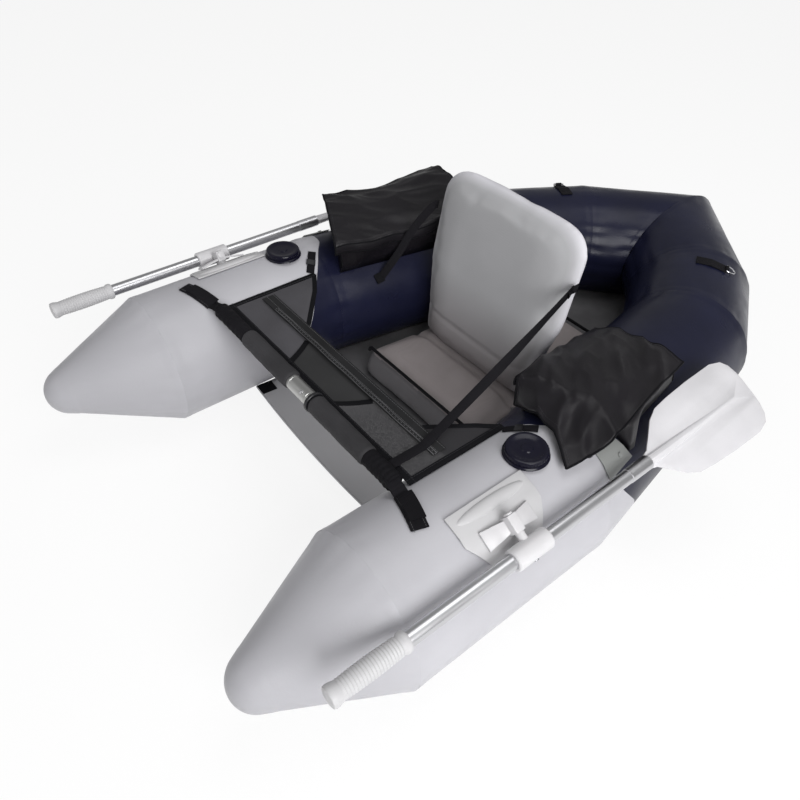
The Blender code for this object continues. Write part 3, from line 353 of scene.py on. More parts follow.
def mathNode(material, operation, first, second):
    node = addNode(material, "Math")
    node.operation = operation
    feed(material, node.inputs[0], first)
    feed(material, node.inputs[1], second)
    return node.outputs[0]


def mixNode(material, factor, first, second):
    node = addNode(material, "Mix")
    node.data_type = "RGBA"
    for place, value in ((0, factor), (6, first), (7, second)):
        feed(material, node.inputs[place], (*value, 1) if isinstance(value, tuple) else value)
    return node.outputs[2]


def noiseNode(material, scale, detail, roughness=0.5, stretch=None):
    vector = placeOf(material)
    if stretch:
        vector = addNode(material, "Mapping", Vector=vector, Scale=stretch).outputs[0]
    node = addNode(material, "TexNoise", Vector=vector, Scale=scale, Detail=detail, Roughness=roughness)
    return node.outputs["Fac"]


def rangeNode(material, value, low, high, fromLow=0.3, fromHigh=0.7):
    node = addNode(material, "MapRange", Value=value, From_Min=fromLow, From_Max=fromHigh,
                   To_Min=low, To_Max=high)
    return node.outputs[0]


def clouds(material, scale, detail):
    return rangeNode(material, noiseNode(material, scale, detail), 0.0, 1.0)


def tinted(colour, factor):
    return tuple(value * factor for value in colour)


def cloudTint(material, colour, change, scale, detail):
    # a colour that is a little darker and lighter in soft clouds
    dark, light = tinted(colour, 1 - change), tinted(colour, 1 + change)
    return mixNode(material, clouds(material, scale, detail), dark, light)


def shadeWith(material, colour=None, roughness=None, height=None, bump=0.2, distance=0.001, alpha=None):
    if height is not None:
        height = addNode(material, "Bump", Strength=bump, Distance=distance, Height=height).outputs[0]
    given = {"Base Color": colour, "Roughness": roughness, "Normal": height, "Alpha": alpha}
    for name, value in given.items():
        if value is not None:
            feed(material, shaderOf(material).inputs[name], value)
    return material


def weaveHeight(material, pitch):
    # a plain weave from bands along all three axes
    heights = []
    for direction in ("X", "Y", "Z"):
        node = addNode(material, "TexWave", Vector=placeOf(material), Scale=0.314 / pitch, Distortion=0.4,
                       Detail=1.0)
        node.bands_direction = direction
        heights.append(node.outputs["Fac"])
    return mathNode(material, "ADD", mathNode(material, "ADD", heights[0], heights[1]), heights[2])


def fabricMaterial(name, colour, roughness, pitch, change=0.25, bump=0.3, specular=0.10):
    material = startMaterial(name, colour, roughness, Specular_IOR_Level=specular)
    thread = weaveHeight(material, pitch)
    scaled = addNode(material, "VectorMath")
    scaled.operation = "SCALE"
    feed(material, scaled.inputs[0], cloudTint(material, colour, change, 9.0, 5.0))
    feed(material, scaled.inputs["Scale"], rangeNode(material, thread, 0.95, 1.03, 0.4, 2.4))
    fuzz = mathNode(material, "MULTIPLY", noiseNode(material, 900.0, 2.0), 0.8)
    return shadeWith(material, colour=scaled.outputs[0], height=mathNode(material, "ADD", thread, fuzz),
                     bump=bump, distance=0.0006)


def coatedMaterial(name, colour, roughness, bump, grain=260.0, creaseScale=5.0):
    # coated cloth or moulded plastic: faint clouding, fine grain and soft creases
    material = startMaterial(name, colour, roughness)
    tint = cloudTint(material, colour, 0.06, creaseScale, 4.0)
    rough = rangeNode(material, noiseNode(material, creaseScale * 3, 3.0), roughness - 0.06, roughness + 0.08)
    fine = mathNode(material, "MULTIPLY", noiseNode(material, grain, 2.0), 0.35)
    soft = noiseNode(material, creaseScale * 2.2, 3.0, stretch=(1, 0.45, 1))
    return shadeWith(material, colour=tint, roughness=rough, height=mathNode(material, "ADD", fine, soft),
                     bump=bump, distance=0.002)


def metalMaterial(name, colour, roughness, stretch):
    # drawn aluminium or bright steel with fine marks along the draw
    material = startMaterial(name, colour, roughness, Metallic=1.0)
    marks = noiseNode(material, 60.0, 6.0, 0.65, stretch)
    rough = rangeNode(material, marks, roughness - 0.08, roughness + 0.14)
    tint = mixNode(material, rangeNode(material, marks, 0.0, 1.0), tinted(colour, 0.86), colour)
    return shadeWith(material, colour=tint, roughness=rough, height=marks, bump=0.08, distance=0.0004)


colours = {
    "grey": (0.450, 0.446, 0.474),
    "navy": (0.0085, 0.0095, 0.0260),
    "black": (0.0090, 0.0085, 0.0105),
    "seat": (0.270, 0.243, 0.243),
    "back": (0.400, 0.400, 0.412),
    # painted shade and a painted brown reflection of the seat, at the backrest's foot
    "backFootShadeAndReflection": (0.230, 0.208, 0.212),
    # painted highlight on the backrest's gusset
    "rim": (0.640, 0.632, 0.672),
    "white": (0.600, 0.592, 0.606),
    "blade": (0.620, 0.612, 0.632),
    "rubber": (0.510, 0.506, 0.516),
    "clip": (0.250, 0.257, 0.250),
    "sheet": (0.480, 0.477, 0.492),
    "floor": (0.115, 0.113, 0.118),
}

print("materials")


def hullMaterial():
    # grey ahead of the slanting panel seam and navy behind it
    material = coatedMaterial("hullCoat", colours["grey"], 0.42, 0.22)
    shader = shaderOf(material)
    greyTint = shader.inputs["Base Color"].links[0].from_socket
    greyRough = shader.inputs["Roughness"].links[0].from_socket
    behind = mathNode(material, "GREATER_THAN", attributeOf(material, "paintLine"), 0.0)
    navyTint = mixNode(material, clouds(material, 7.0, 4.0), tinted(colours["navy"], 0.85),
                       tinted(colours["navy"], 1.25))
    # painted shade: the noses are painted a little darker than the tubes
    nose = rangeNode(material, axisOf(material, "Y"), 1.0, 0.0, -0.80, -0.62)
    noseShadeTint = mixNode(material, nose, greyTint, tinted(colours["grey"], 0.86))
    rough = mathNode(material, "SUBTRACT", greyRough, mathNode(material, "MULTIPLY", behind, 0.09))
    feed(material, shader.inputs["Specular IOR Level"], rangeNode(material, behind, 0.42, 0.23, 0.0, 1.0))
    return shadeWith(material, colour=mixNode(material, behind, noseShadeTint, navyTint), roughness=rough)


def apronMaterial():
    # close cloth in the middle, painted dark as painted shade for the shaded floor below it, and an open net
    # at the sides, which what lies below shows through
    material = startMaterial("apronCloth", (0.075, 0.073, 0.080), 0.8, Specular_IOR_Level=0.1)
    holes = addNode(material, "TexVoronoi", Vector=placeOf(material), Scale=520.0).outputs["Distance"]
    isNet = mathNode(material, "GREATER_THAN", attributeOf(material, "netLine"), 0.0)
    cover = rangeNode(material, holes, 0.90, 0.985, 0.15, 0.50)
    alpha = mathNode(material, "MAXIMUM", cover, mathNode(material, "SUBTRACT", 1.0, isNet))
    cloudy = clouds(material, 11.0, 4.0)
    net = mixNode(material, cloudy, (0.068, 0.066, 0.072), (0.084, 0.082, 0.090))
    # painted shade: the net is painted darker on the left side, for the shaded well seen through it, as the
    # close cloth is
    left = rangeNode(material, axisOf(material, "X"), 0.0, 1.0, -0.05, 0.15)
    net = mixNode(material, left, net, (0.034, 0.033, 0.036))
    # painted shade: the close cloth's dark colour stands for the shaded floor below the apron
    close = mixNode(material, cloudy, (0.032, 0.032, 0.033), (0.040, 0.040, 0.041))
    return shadeWith(material, colour=mixNode(material, isNet, close, net), alpha=alpha,
                     height=holes, bump=0.2, distance=0.0003)


hullCoat = hullMaterial()
apronCloth = apronMaterial()
webbing = fabricMaterial("webbing", colours["black"], 0.72, 0.0022, bump=0.6)
strapCloth = fabricMaterial("strapCloth", (0.021, 0.021, 0.022), 0.80, 0.0018)
binding = fabricMaterial("binding", (0.0060, 0.0060, 0.0075), 0.66, 0.0018, bump=0.5)
bagNylon = fabricMaterial("bagNylon", (0.0085, 0.0074, 0.0096), 0.38, 0.0011, bump=0.12, specular=0.24)
bagWall = fabricMaterial("bagWall", (0.0200, 0.0225, 0.0290), 0.42, 0.0011, bump=0.12, specular=0.30)
seatCloth = fabricMaterial("seatCloth", colours["seat"], 0.88, 0.0012, 0.07, 0.15)
# painted shade: a darker copy of the seat cloth for the cushion's front and sides
seatSideShade = fabricMaterial("seatSideShade", (0.150, 0.145, 0.152), 0.86, 0.0012, 0.08, 0.15)


def backMaterial():
    # pale cloth with painted shade and a painted brown reflection of the seat, which darken and brown it
    # towards its foot
    material = fabricMaterial("backCloth", colours["back"], 0.80, 0.0009, 0.04, 0.08)
    face = shaderOf(material).inputs["Base Color"].links[0].from_socket
    # painted shade and painted seat reflection, strongest at the foot
    share = rangeNode(material, axisOf(material, "Z"), 0.0, 1.0, 0.11, 0.30)
    cloth = mixNode(material, share, colours["backFootShadeAndReflection"], face)
    # the gusset between the two faces is painted near white as a painted highlight, with a soft start
    gussetHighlight = rangeNode(material, attributeOf(material, "gusset"), 0.0, 1.0, -0.011, 0.010)
    return shadeWith(material, colour=mixNode(material, gussetHighlight, cloth, colours["rim"]))


backCloth = backMaterial()
foamSkin = fabricMaterial("foamSkin", (0.032, 0.031, 0.034), 0.80, 0.0030, bump=0.15, specular=0.35)
zipTape = fabricMaterial("zipTape", (0.115, 0.115, 0.120), 0.60, 0.0012)
threadGrey = startMaterial("threadGrey", (0.10, 0.10, 0.105), 0.7)
threadBlack = startMaterial("threadBlack", (0.02, 0.02, 0.024), 0.6)
sheetCoat = coatedMaterial("sheetCoat", colours["sheet"], 0.48, 0.3)
floorCoat = fabricMaterial("floorCoat", colours["floor"], 0.70, 0.0035, bump=0.5)
rubberGrey = coatedMaterial("rubberGrey", colours["rubber"], 0.50, 0.1, 500.0)
whitePlastic = coatedMaterial("whitePlastic", colours["white"], 0.36, 0.05, creaseScale=18.0)
bladePlastic = coatedMaterial("bladePlastic", colours["blade"], 0.38, 0.10, creaseScale=12.0)
clipRubber = coatedMaterial("clipRubber", colours["clip"], 0.50, 0.1, 500.0)
valvePlastic = coatedMaterial("valvePlastic", (0.0040, 0.0036, 0.0120), 0.20, 0.05, creaseScale=20.0)
shaderOf(valvePlastic).inputs["Specular IOR Level"].default_value = 0.28
blackPlastic = coatedMaterial("blackPlastic", (0.010, 0.010, 0.012), 0.38, 0.1, creaseScale=25.0)
aluminiumAlongX = metalMaterial("aluminiumAlongX", (0.50, 0.50, 0.49), 0.36, (0.05, 1, 1))
aluminiumAlongY = metalMaterial("aluminiumAlongY", (0.66, 0.66, 0.68), 0.28, (1, 0.05, 1))
brightSteel = metalMaterial("brightSteel", (0.66, 0.66, 0.68), 0.22, (1, 1, 1))


# Stitches: small thread lengths along a path, made by Geometry Nodes
def stitchTree():
    tree = bpy.data.node_groups.new("stitchRow", "GeometryNodeTree")
    inputs = {}
    for label, kind in (("Path", "Geometry"), ("Spacing", "Float"), ("Stitch length", "Float"),
                        ("Thread radius", "Float"), ("Thread", "Material")):
        socket = tree.interface.new_socket(label, in_out="INPUT", socket_type="NodeSocket" + kind)
        inputs[label] = socket.identifier
    tree.interface.new_socket("Stitches", in_out="OUTPUT", socket_type="NodeSocketGeometry")
    nodes = {}
    for name, kind in (
        ("given", "NodeGroupInput"), ("result", "NodeGroupOutput"), ("resample", "GeometryNodeResampleCurve"),
        ("toCurve", "GeometryNodeMeshToCurve"), ("thread", "GeometryNodeMeshCylinder"),
        ("instance", "GeometryNodeInstanceOnPoints"), ("tangent", "GeometryNodeInputTangent"),
        ("align", "FunctionNodeAlignEulerToVector"), ("capture", "GeometryNodeCaptureAttribute"),
        ("realize", "GeometryNodeRealizeInstances"), ("paint", "GeometryNodeSetMaterial"),
    ):
        nodes[name] = tree.nodes.new(kind)
    nodes["resample"].mode = "LENGTH"
    nodes["thread"].inputs["Vertices"].default_value = 6
    nodes["align"].axis = "Z"
    nodes["capture"].capture_items.new("VECTOR", "Way")
    for source, output, target, entry in (
        ("given", "Path", "toCurve", 0), ("toCurve", 0, "resample", "Curve"),
        ("given", "Spacing", "resample", "Length"), ("resample", 0, "capture", "Geometry"),
        ("tangent", 0, "capture", "Way"), ("capture", "Geometry", "instance", "Points"),
        ("capture", "Way", "align", "Vector"), ("align", 0, "instance", "Rotation"),
        ("given", "Stitch length", "thread", "Depth"), ("given", "Thread radius", "thread", "Radius"),
        ("thread", "Mesh", "instance", "Instance"), ("instance", 0, "realize", 0),
        ("realize", 0, "paint", "Geometry"), ("given", "Thread", "paint", "Material"),
        ("paint", 0, "result", 0),
    ):
        tree.links.new(nodes[source].outputs[output], nodes[target].inputs[entry])
    return tree, inputs


stitches, stitchInputs = stitchTree()


def sewAlong(name, paths, thread, spacing=0.0055, length=0.0036, radius=0.00045):
    # one piece of stitches for several paths
    points, edges = [], []
    for path in paths:
        start = len(points)
        points += [tuple(point) for point in path]
        edges += [(start + step, start + step + 1) for step in range(len(path) - 1)]
    mesh = bpy.data.meshes.new(name)
    mesh.from_pydata(points, edges, [])
    piece = addPiece(name, mesh)
    modifier = piece.modifiers.new("stitches", "NODES")
    modifier.node_group = stitches
    sizes = {"Spacing": spacing, "Stitch length": length, "Thread radius": radius, "Thread": thread}
    for label, value in sizes.items():
        modifier[stitchInputs[label]] = value
    return bake(piece)


# Air tubes
tubes = {
    "around": 112,
    "step": 0.006,
    "tapeHalfWidth": 0.0125,
    "tapeStep": 0.0005,
    "puckerDepth": 0.0022,
    "puckerReach": 0.034,
    "softDepth": 0.0016,
    "sharp": (0.5, 1.0, 1.2, 1.2, 1.3),
    "seamAngles": (-1.57, -1.39, -0.82, -0.19, 0.0, 0.6, 1.1, 1.5, 1.7),
    "seamPlaces": (-0.352, -0.344, -0.2987, -0.2376, -0.215, -0.196, -0.176, -0.132, -0.118),
}


def crossingRing(run, point, normal):
    # where a tube's skin meets a plane
    way = headingOf(run)
    ring = []
    for angle in turns(tubes["around"]):
        base = skinAt(run, 0, angle)
        ring.append(base + way * ((point - base).dot(normal) / way.dot(normal)))
    return ring


def creaseDepth(point, angle, fromStart, fromEnd, sharpStart, sharpEnd):
    # how far the skin lies below its full round
    depth = tubes["tapeStep"]
    nearest = min(fromStart, fromEnd)
    if nearest < tubes["tapeHalfWidth"]:
        depth = 0.0
    elif nearest < tubes["tapeHalfWidth"] + 0.0012:
        depth *= (nearest - tubes["tapeHalfWidth"]) / 0.0012
    for distance, sharp in ((fromStart, sharpStart), (fromEnd, sharpEnd)):
        inner = 0.35 + 0.65 * max(0.0, -sin(angle))
        wave = max(0.0, sin(angle * 19 + 2.5 * noise.noise(point * 9)))
        fade = exp(-((distance - 0.010) / tubes["puckerReach"]) ** 2)
        depth += sharp * tubes["puckerDepth"] * inner * fade * wave
    depth += tubes["softDepth"] * max(0.0, noise.noise(xyz(point.x * 7, point.y * 4, point.z * 7)) - 0.05)
    ripple = noise.noise(xyz(point.x * 26, point.y * 9 + 3, point.z * 26))
    return depth + 0.0005 * max(0.0, ripple)


def addPaint(piece):
    values = []
    for vertex in piece.data.vertices:
        x, y, z = vertex.co
        angle = atan2(abs(x) - boat["runs"]["front"][0][0], z - boat["radius"])
        angle = max(-1.57, min(1.7, angle))
        values.append(y - float(np.interp(angle, tubes["seamAngles"], tubes["seamPlaces"])))
    paintPoints(piece, "paintLine", values)


def makeTube(run, name, startPoint, startNormal, endPoint, endNormal, sharpStart, sharpEnd):
    first = crossingRing(run, startPoint, startNormal)
    last = crossingRing(run, endPoint, endNormal)
    count = max(8, int((endPoint - startPoint).length / tubes["step"]))
    angles = turns(tubes["around"])
    rows = []
    for index in range(count + 1):
        share = index / count
        row = []
        for low, high, angle in zip(first, last, angles):
            point = low.lerp(high, share)
            length = (high - low).length
            outward = outboardOf(run) * sin(angle) + up * cos(angle)
            depth = creaseDepth(point, angle, length * share, length * (1 - share), sharpStart, sharpEnd)
            row.append(point - outward * depth)
        rows.append(row)
    piece = skinRows(name, rows, hullCoat, caps=False)
    addPaint(piece)
    return piece


def makeNose():
    seamY = boat["runs"]["front"][0][1]
    x = boat["runs"]["front"][0][0]
    tip = boat["tipRadius"]
    capY = boat["noseY"] + tip
    distance = seamY - capY
    slope = atan2(boat["radius"], distance) - asin(tip / hypot(boat["radius"], distance))
    profile = []
    rear = boat["radius"]
    front = tip * cos(slope)
    frontY = capY - tip * sin(slope)
    for share in np.linspace(0, 1, 44):
        profile.append((seamY + (frontY - seamY) * share, rear + (front - rear) * share))
    for angle in np.linspace(slope, radians(88), 18)[1:]:
        profile.append((capY - tip * sin(angle), tip * cos(angle)))
    rows = []
    for y, radius in profile:
        rise = boat["tipRise"] * min((seamY - y) / distance, 1)
        row = []
        for angle in turns(tubes["around"]):
            way = xyz(sin(angle), 0, cos(angle))
            point = xyz(x, y, boat["radius"] + rise) + way * radius
            fromSeam = seamY - y
            depth = creaseDepth(point, angle, fromSeam, 1, 0.8, 0) if fromSeam < 0.19 else 0.0004
            if y < capY - 0.004:
                depth = 0.0
            row.append(point - way * min(depth, radius * 0.2))
        rows.append(row)
    piece = skinRows("noseSkinLeft", rows, hullCoat, caps=True)
    shape = bmesh.new()
    shape.from_mesh(piece.data)
    openEnd = [face for face in shape.faces if len(face.verts) > 8 and face.calc_center_median().y > capY]
    bmesh.ops.delete(shape, geom=openEnd, context="FACES_ONLY")
    shape.to_mesh(piece.data)
    shape.free()
    addPaint(piece)
    return piece


def bisector(before, after):
    return (headingOf(before) + headingOf(after)).normalized()


def makeTubes():
    apex = xyz(*boat["apex"], boat["radius"])
    runs = ("front", "side", "quarter", "stern")
    places = [startOf(run) for run in runs] + [apex]
    normals = [headingOf("front")] + [bisector(*pair) for pair in zip(runs, runs[1:])] + [xyz(-1, 0, 0)]
    left = [("nose_cone", makeNose())]
    for index, run in enumerate(runs):
        piece = makeTube(run, run + "SkinLeft", places[index], normals[index], places[index + 1],
                         normals[index + 1], *tubes["sharp"][index:index + 2])
        left.append((run + "_tube", piece))
    for node, piece in left:
        standForBoth(piece, "hull", node)
    dress("stern_bulkhead", valvePlastic)


makeTubes()
print("air tubes")


# Padded pieces
air = {
    "voxel": 0.006,
    "pressure": 4,
    "cap": 0.010,
    "frames": 20,
    "drawingIn": 0.2,
    "smoothings": 18,
}


def inflate(piece, limit):
    # swell a closed shape as an air cushion, with no point moving more than the cap
    addModifier(piece, "REMESH", mode="VOXEL", voxel_size=air["voxel"], use_smooth_shade=True)
    piece = bake(piece)
    start = np.array([vertex.co[:] for vertex in piece.data.vertices])
    normals = np.array([vertex.normal[:] for vertex in piece.data.vertices])
    cloth = piece.modifiers.new("air", "CLOTH")
    for key, value in (("quality", 6), ("mass", 0.25), ("use_pressure", True),
                       ("uniform_pressure_force", air["pressure"]), ("tension_stiffness", 18),
                       ("compression_stiffness", 14), ("bending_stiffness", 0.6)):
        setattr(cloth.settings, key, value)
    cloth.settings.effector_weights.gravity = 0
    cloth.collision_settings.use_collision = False
    for clock in (cloth.point_cache, scene):
        clock.frame_start = 1
        clock.frame_end = air["frames"]
    for number in range(1, air["frames"] + 1):
        scene.frame_set(number)
    piece = bake(piece)
    shift = np.array([vertex.co[:] for vertex in piece.data.vertices]) - start
    # the outline keeps its size: only a fifth of any drawing-in is kept
    inward = np.minimum(0, (shift * normals).sum(axis=1))
    shift -= normals * (inward * (1 - air["drawingIn"]))[:, None]
    size = np.linalg.norm(shift, axis=1)
    size[size == 0] = 1
    shift *= np.minimum(1, air["cap"] / size)[:, None]
    final = np.array([limit(*point) for point in start + shift])
    piece.data.vertices.foreach_set("co", final.ravel())
    piece.data.update()
    piece.data.shade_smooth()
    scene.frame_set(1)
    # small puckers that the air leaves are drawn smooth
    addModifier(piece, "SMOOTH", factor=0.5, iterations=air["smoothings"])
    piece = bake(piece)
    addModifier(piece, "SUBSURF", levels=1, render_levels=1)
    return bake(piece)


def boxedRing(count, halfWidth, halfDepth, crown, squareness=0.42, flatFoot=False):
    ring = []
    for angle in turns(count):
        across = copysign(abs(cos(angle)) ** squareness, cos(angle))
        depth = copysign(abs(sin(angle)) ** squareness, sin(angle))
        swell = 0 if flatFoot and depth < 0 else crown * abs(across) ** 2.5
        ring.append((halfWidth * across, (halfDepth - swell) * depth))
    return ring


seat = {
    "frontY": -0.222,
    "rearY": 0.260,
    "foot": 0.0303,
    "height": 0.0767,
    "frontHalfWidth": 0.197,
    "rearHalfWidth": 0.157,
    "inset": 0.004,
    "channels": (-0.083, 0.075),
    "channelDepth": 0.007,
    "channelWidth": 0.010,
    "footSlope": 0.026,
}


def innerX(y, z, runs):
    # the inner side of the left tube at a place, as the nearest of the given runs
    across = sqrt(max(0.0, boat["radius"] ** 2 - (z - boat["radius"]) ** 2))
    sides = []
    for run in runs:
        turn = radians(boat["runs"][run][1])
        x, startY = boat["runs"][run][0]
        sides.append(x - (y - startY) * tan(turn) - across / cos(turn))
    return min(sides)


def seatLimit(x, y, z):
    z = max(seat["foot"], min(z, seat["foot"] + seat["height"] + 0.004))
    reach = innerX(y, z, ["side"]) - 0.001
    frontY = seat["frontY"] - seat["footSlope"]
    return max(-reach, min(reach, x)), max(frontY, min(y, seat["rearY"] + 0.004)), z


def makeSeat():
    rows = []
    inset = seat["inset"]
    length = seat["rearY"] - seat["frontY"] - 2 * inset
    for share in np.linspace(0, 1, 60):
        y = seat["frontY"] + inset + share * length
        halfWidth = seat["frontHalfWidth"] + (seat["rearHalfWidth"] - seat["frontHalfWidth"]) * share - inset
        fromEnd = min(share, 1 - share) * length
        rounding = max(0.0, 1 - fromEnd / 0.016)
        draw = 0.018 * (1 - sqrt(max(0.0, 1 - rounding * rounding)))
        halfDepth = (seat["height"] - inset - draw) / 2
        row = []
        for across, depth in boxedRing(64, halfWidth - draw / 2, halfDepth, 0.004, flatFoot=True):
            height = halfDepth + depth
            slope = seat["footSlope"] * (1 - height / seat["height"]) * max(0.0, 1 - share * 4) ** 2
            row.append(xyz(across, y - slope, seat["foot"] + height))
        rows.append(row)
    piece = skinRows("seatPad", rows, [seatCloth, seatSideShade])
    piece = inflate(piece, seatLimit)
    for vertex in piece.data.vertices:
        point = vertex.co
        if point.z > seat["foot"] + 0.030:
            for channel in seat["channels"]:
                distance = abs(point.y - channel) / seat["channelWidth"]
                fade = min(1.0, (point.z - seat["foot"] - 0.030) / 0.03)
                point.z -= seat["channelDepth"] * fade * exp(-distance * distance)
            point.z -= 0.0012 * noise.noise(xyz(point.x * 16, point.y * 16, 0)) + 0.0006
    # painted shade: the front face and the lower sides take the darker copy of the seat cloth
    for face in piece.data.polygons:
        ahead = face.center.y < seat["frontY"] + 0.004
        face.material_index = 1 if ahead or face.center.z < seat["foot"] + seat["height"] - 0.020 else 0
    standFor(piece, "hull", "seat_cushion")
    rims = []
    for y, halfWidth, way in ((seat["frontY"] + 0.004, 0.190, 1), (seat["rearY"] - 0.005, 0.150, -1)):
        rim = []
        for x in np.linspace(-halfWidth, halfWidth, 60):
            into = max(0.0, abs(x) - halfWidth + 0.014) / 0.014
            height = seat["foot"] + seat["height"] - 0.0040 - 0.016 * into * into
            rim.append(xyz(x, y + way * 0.004 * into, height))
        rims.append(tubeAlong("seatPiping", rim, 0.0040, binding))
    install(joinPieces("seatPiping", rims), "hull")


makeSeat()
print("seat")

back = {
    "y": -0.083,
    "foot": 0.1073,
    "height": 0.393,
    "thickness": 0.066,
    "lean": tan(radians(10.5)),
    "bottomHalfWidth": 0.165,
    "topHalfWidth": 0.205,
    "wideningHeight": 0.193,
    "cornerRadius": 0.070,
    "inset": 0.001,
    "seamHeight": 0.070,
}


def backHalfWidth(height):
    share = min(height / back["wideningHeight"], 1)
    width = back["bottomHalfWidth"] + share * (back["topHalfWidth"] - back["bottomHalfWidth"])
    into = height - (back["height"] - back["cornerRadius"])
    if into > 0:
        reach = min(into / back["cornerRadius"], 1)
        width -= back["cornerRadius"] * (1 - sqrt(1 - reach * reach))
    return width


def backLimit(x, y, z):
    low = back["foot"] - 0.009 * (x / 0.19) ** 2 * max(0.0, 1 - (z - back["foot"]) / 0.12)
    z = max(low, min(z, back["foot"] + back["height"] + 0.003))
    face = back["y"] + (z - back["foot"]) * back["lean"]
    return x, max(face - 0.006, min(y, face + back["thickness"] + 0.006)), z


def makeBackrest():
    rows = []
    inset = back["inset"]
    for share in np.linspace(0, 1, 72):
        height = inset + share * (back["height"] - 2 * inset)
        fromTop = back["height"] - inset - height
        rounding = max(0.0, 1 - fromTop / 0.030)
        draw = 0.022 * (1 - sqrt(max(0.0, 1 - rounding * rounding)))
        halfDepth = back["thickness"] / 2 - inset - draw
        centre = back["y"] + height * back["lean"] + back["thickness"] / 2
        halfWidth = backHalfWidth(height) - inset
        fade = max(0.0, 1 - height / 0.12)
        row = []
        for across, depth in boxedRing(72, halfWidth, halfDepth, 0.014, 0.40):
            sag = 0.009 * fade * (across / 0.186) ** 2
            row.append(xyz(across, centre + depth, back["foot"] + height - sag))
        rows.append(row)
    piece = skinRows("backPad", rows, backCloth)
    piece = inflate(piece, backLimit)
    for vertex in piece.data.vertices:
        point = vertex.co
        height = point.z - back["foot"]
        centre = back["y"] + height * back["lean"] + back["thickness"] / 2
        side = 1 if point.y > centre else -1
        seam = exp(-((height - back["seamHeight"]) / 0.007) ** 2)
        inFace = max(0.0, 1 - (abs(point.x) / max(backHalfWidth(max(height, 0)), 0.01)) ** 6)
        point.y -= side * (0.0025 * seam * inFace)
    values = []
    for vertex in piece.data.vertices:
        depth = vertex.co.y - back["y"] - (vertex.co.z - back["foot"]) * back["lean"]
        values.append(min(depth - 0.021, back["thickness"] - 0.015 - depth))
    paintPoints(piece, "gusset", values)
    standFor(piece, "backrest", "backrest")


makeBackrest()
print("backrest")


# Side pockets and their flaps
pockets = {
    "left": {
        "start": 0.000, "length": 0.300, "skews": (-0.42, -0.20), "dip": 0.0,
        "frontRises": (0.028, 0.050, 0.062, 0.062, 0.057), "rearRises": (0.040, 0.036, 0.029, 0.021, -0.010),
        "ridge": 0.27, "folds": 0.75, "seed": 3.0, "cornerIn": 0.36, "cornerLean": 0.42,
        "footPlaces": (0.0, 0.10, 0.14, 0.36, 0.42, 0.48, 0.56), "footAngles": (22, 23, 28, 29, 45, 46, 34),
    },
    "right": {
        "start": 0.060, "length": 0.305, "skews": (0.30, 0.0), "dip": 0.018,
        "frontRises": (0.069, 0.082, 0.082, 0.074, 0.059), "rearRises": (0.084, 0.098, 0.098, 0.088, 0.071),
        "ridge": 0.0, "folds": 0.5, "seed": 11.0, "cornerIn": 0.0, "cornerLean": 0.0,
        "footPlaces": (0.0, 1.0), "footAngles": (24, 24),
    },
    "across": (0.088, 0.044, 0.0, -0.058, -0.112),
    "innerAngle": -40,
    "endSag": 0.010,
    "lidClearance": 0.0008,
    "lidThickness": 0.0022,
    "lip": 0.024,
    "lidReach": 0.013,
    "outerWall": 0.75,
}


def sidePoint(along, across, height):
    place = startOf("side") + headingOf("side") * along + outboardOf("side") * across
    return xyz(place.x, place.y, height)


def lean(pocket, share, x):
    # how far forward a place across the pocket lies, most at the front outer corner
    corner = pocket["cornerLean"] * max(0.0, 1 - share / 0.22) * max(0.0, x)
    frontSkew, rearSkew = pocket["skews"]
    return (frontSkew + share * (rearSkew - frontSkew)) * x - corner


def pocketTop(pocket, share, count):
    # the bag's top across the tube, outer edge first
    sag = abs(2 * share - 1) ** 6
    places = np.linspace(0, 4, count)
    across = np.interp(places, range(5), pockets["across"])
    # the outer front corner is drawn in
    drawn = pocket["cornerIn"] * max(0.0, 1 - share / 0.22)
    across = np.where(across > 0, across * (1 - drawn), across)
    front = np.interp(places, range(5), pocket["frontRises"])
    rear = np.interp(places, range(5), pocket["rearRises"])
    rises = front + share * (rear - front) - pocket["dip"] * sin(pi * share)
    result = []
    for index, (x, rise) in enumerate(zip(across, rises)):
        drop = pockets["endSag"] * sag * index / (count - 1)
        top = 2 * boat["radius"] + rise - drop
        # ahead of the slanting ridge the bag falls away to the tube
        reach = pocket["ridge"] * min(1.0, (count - 1 - index) / (0.55 * count))
        if share < reach:
            low = boat["radius"] + sqrt(boat["radius"] ** 2 - x * x) + 0.010
            top = low + (top - low) * (0.12 + 0.88 * share / reach)
        result.append((x, top))
    return result


def fold(point, seed, scale=1.0):
    # the rumple of half-filled nylon: broad facets with sharp ridges between them
    wide = noise.noise(xyz(point.x * 7 + seed, point.y * 6, point.z * 9))
    slanted = point.x + 0.6 * point.y
    sharp = 1 - 2 * abs(noise.noise(xyz(slanted * 15, point.y * 8 + seed, point.z * 20)))
    fine = 1 - 2 * abs(noise.noise(xyz(slanted * 30 + seed, point.y * 17, point.z * 42)))
    return scale * (0.0100 * wide + 0.0120 * (sharp - 0.65) + 0.0034 * (fine - 0.65))


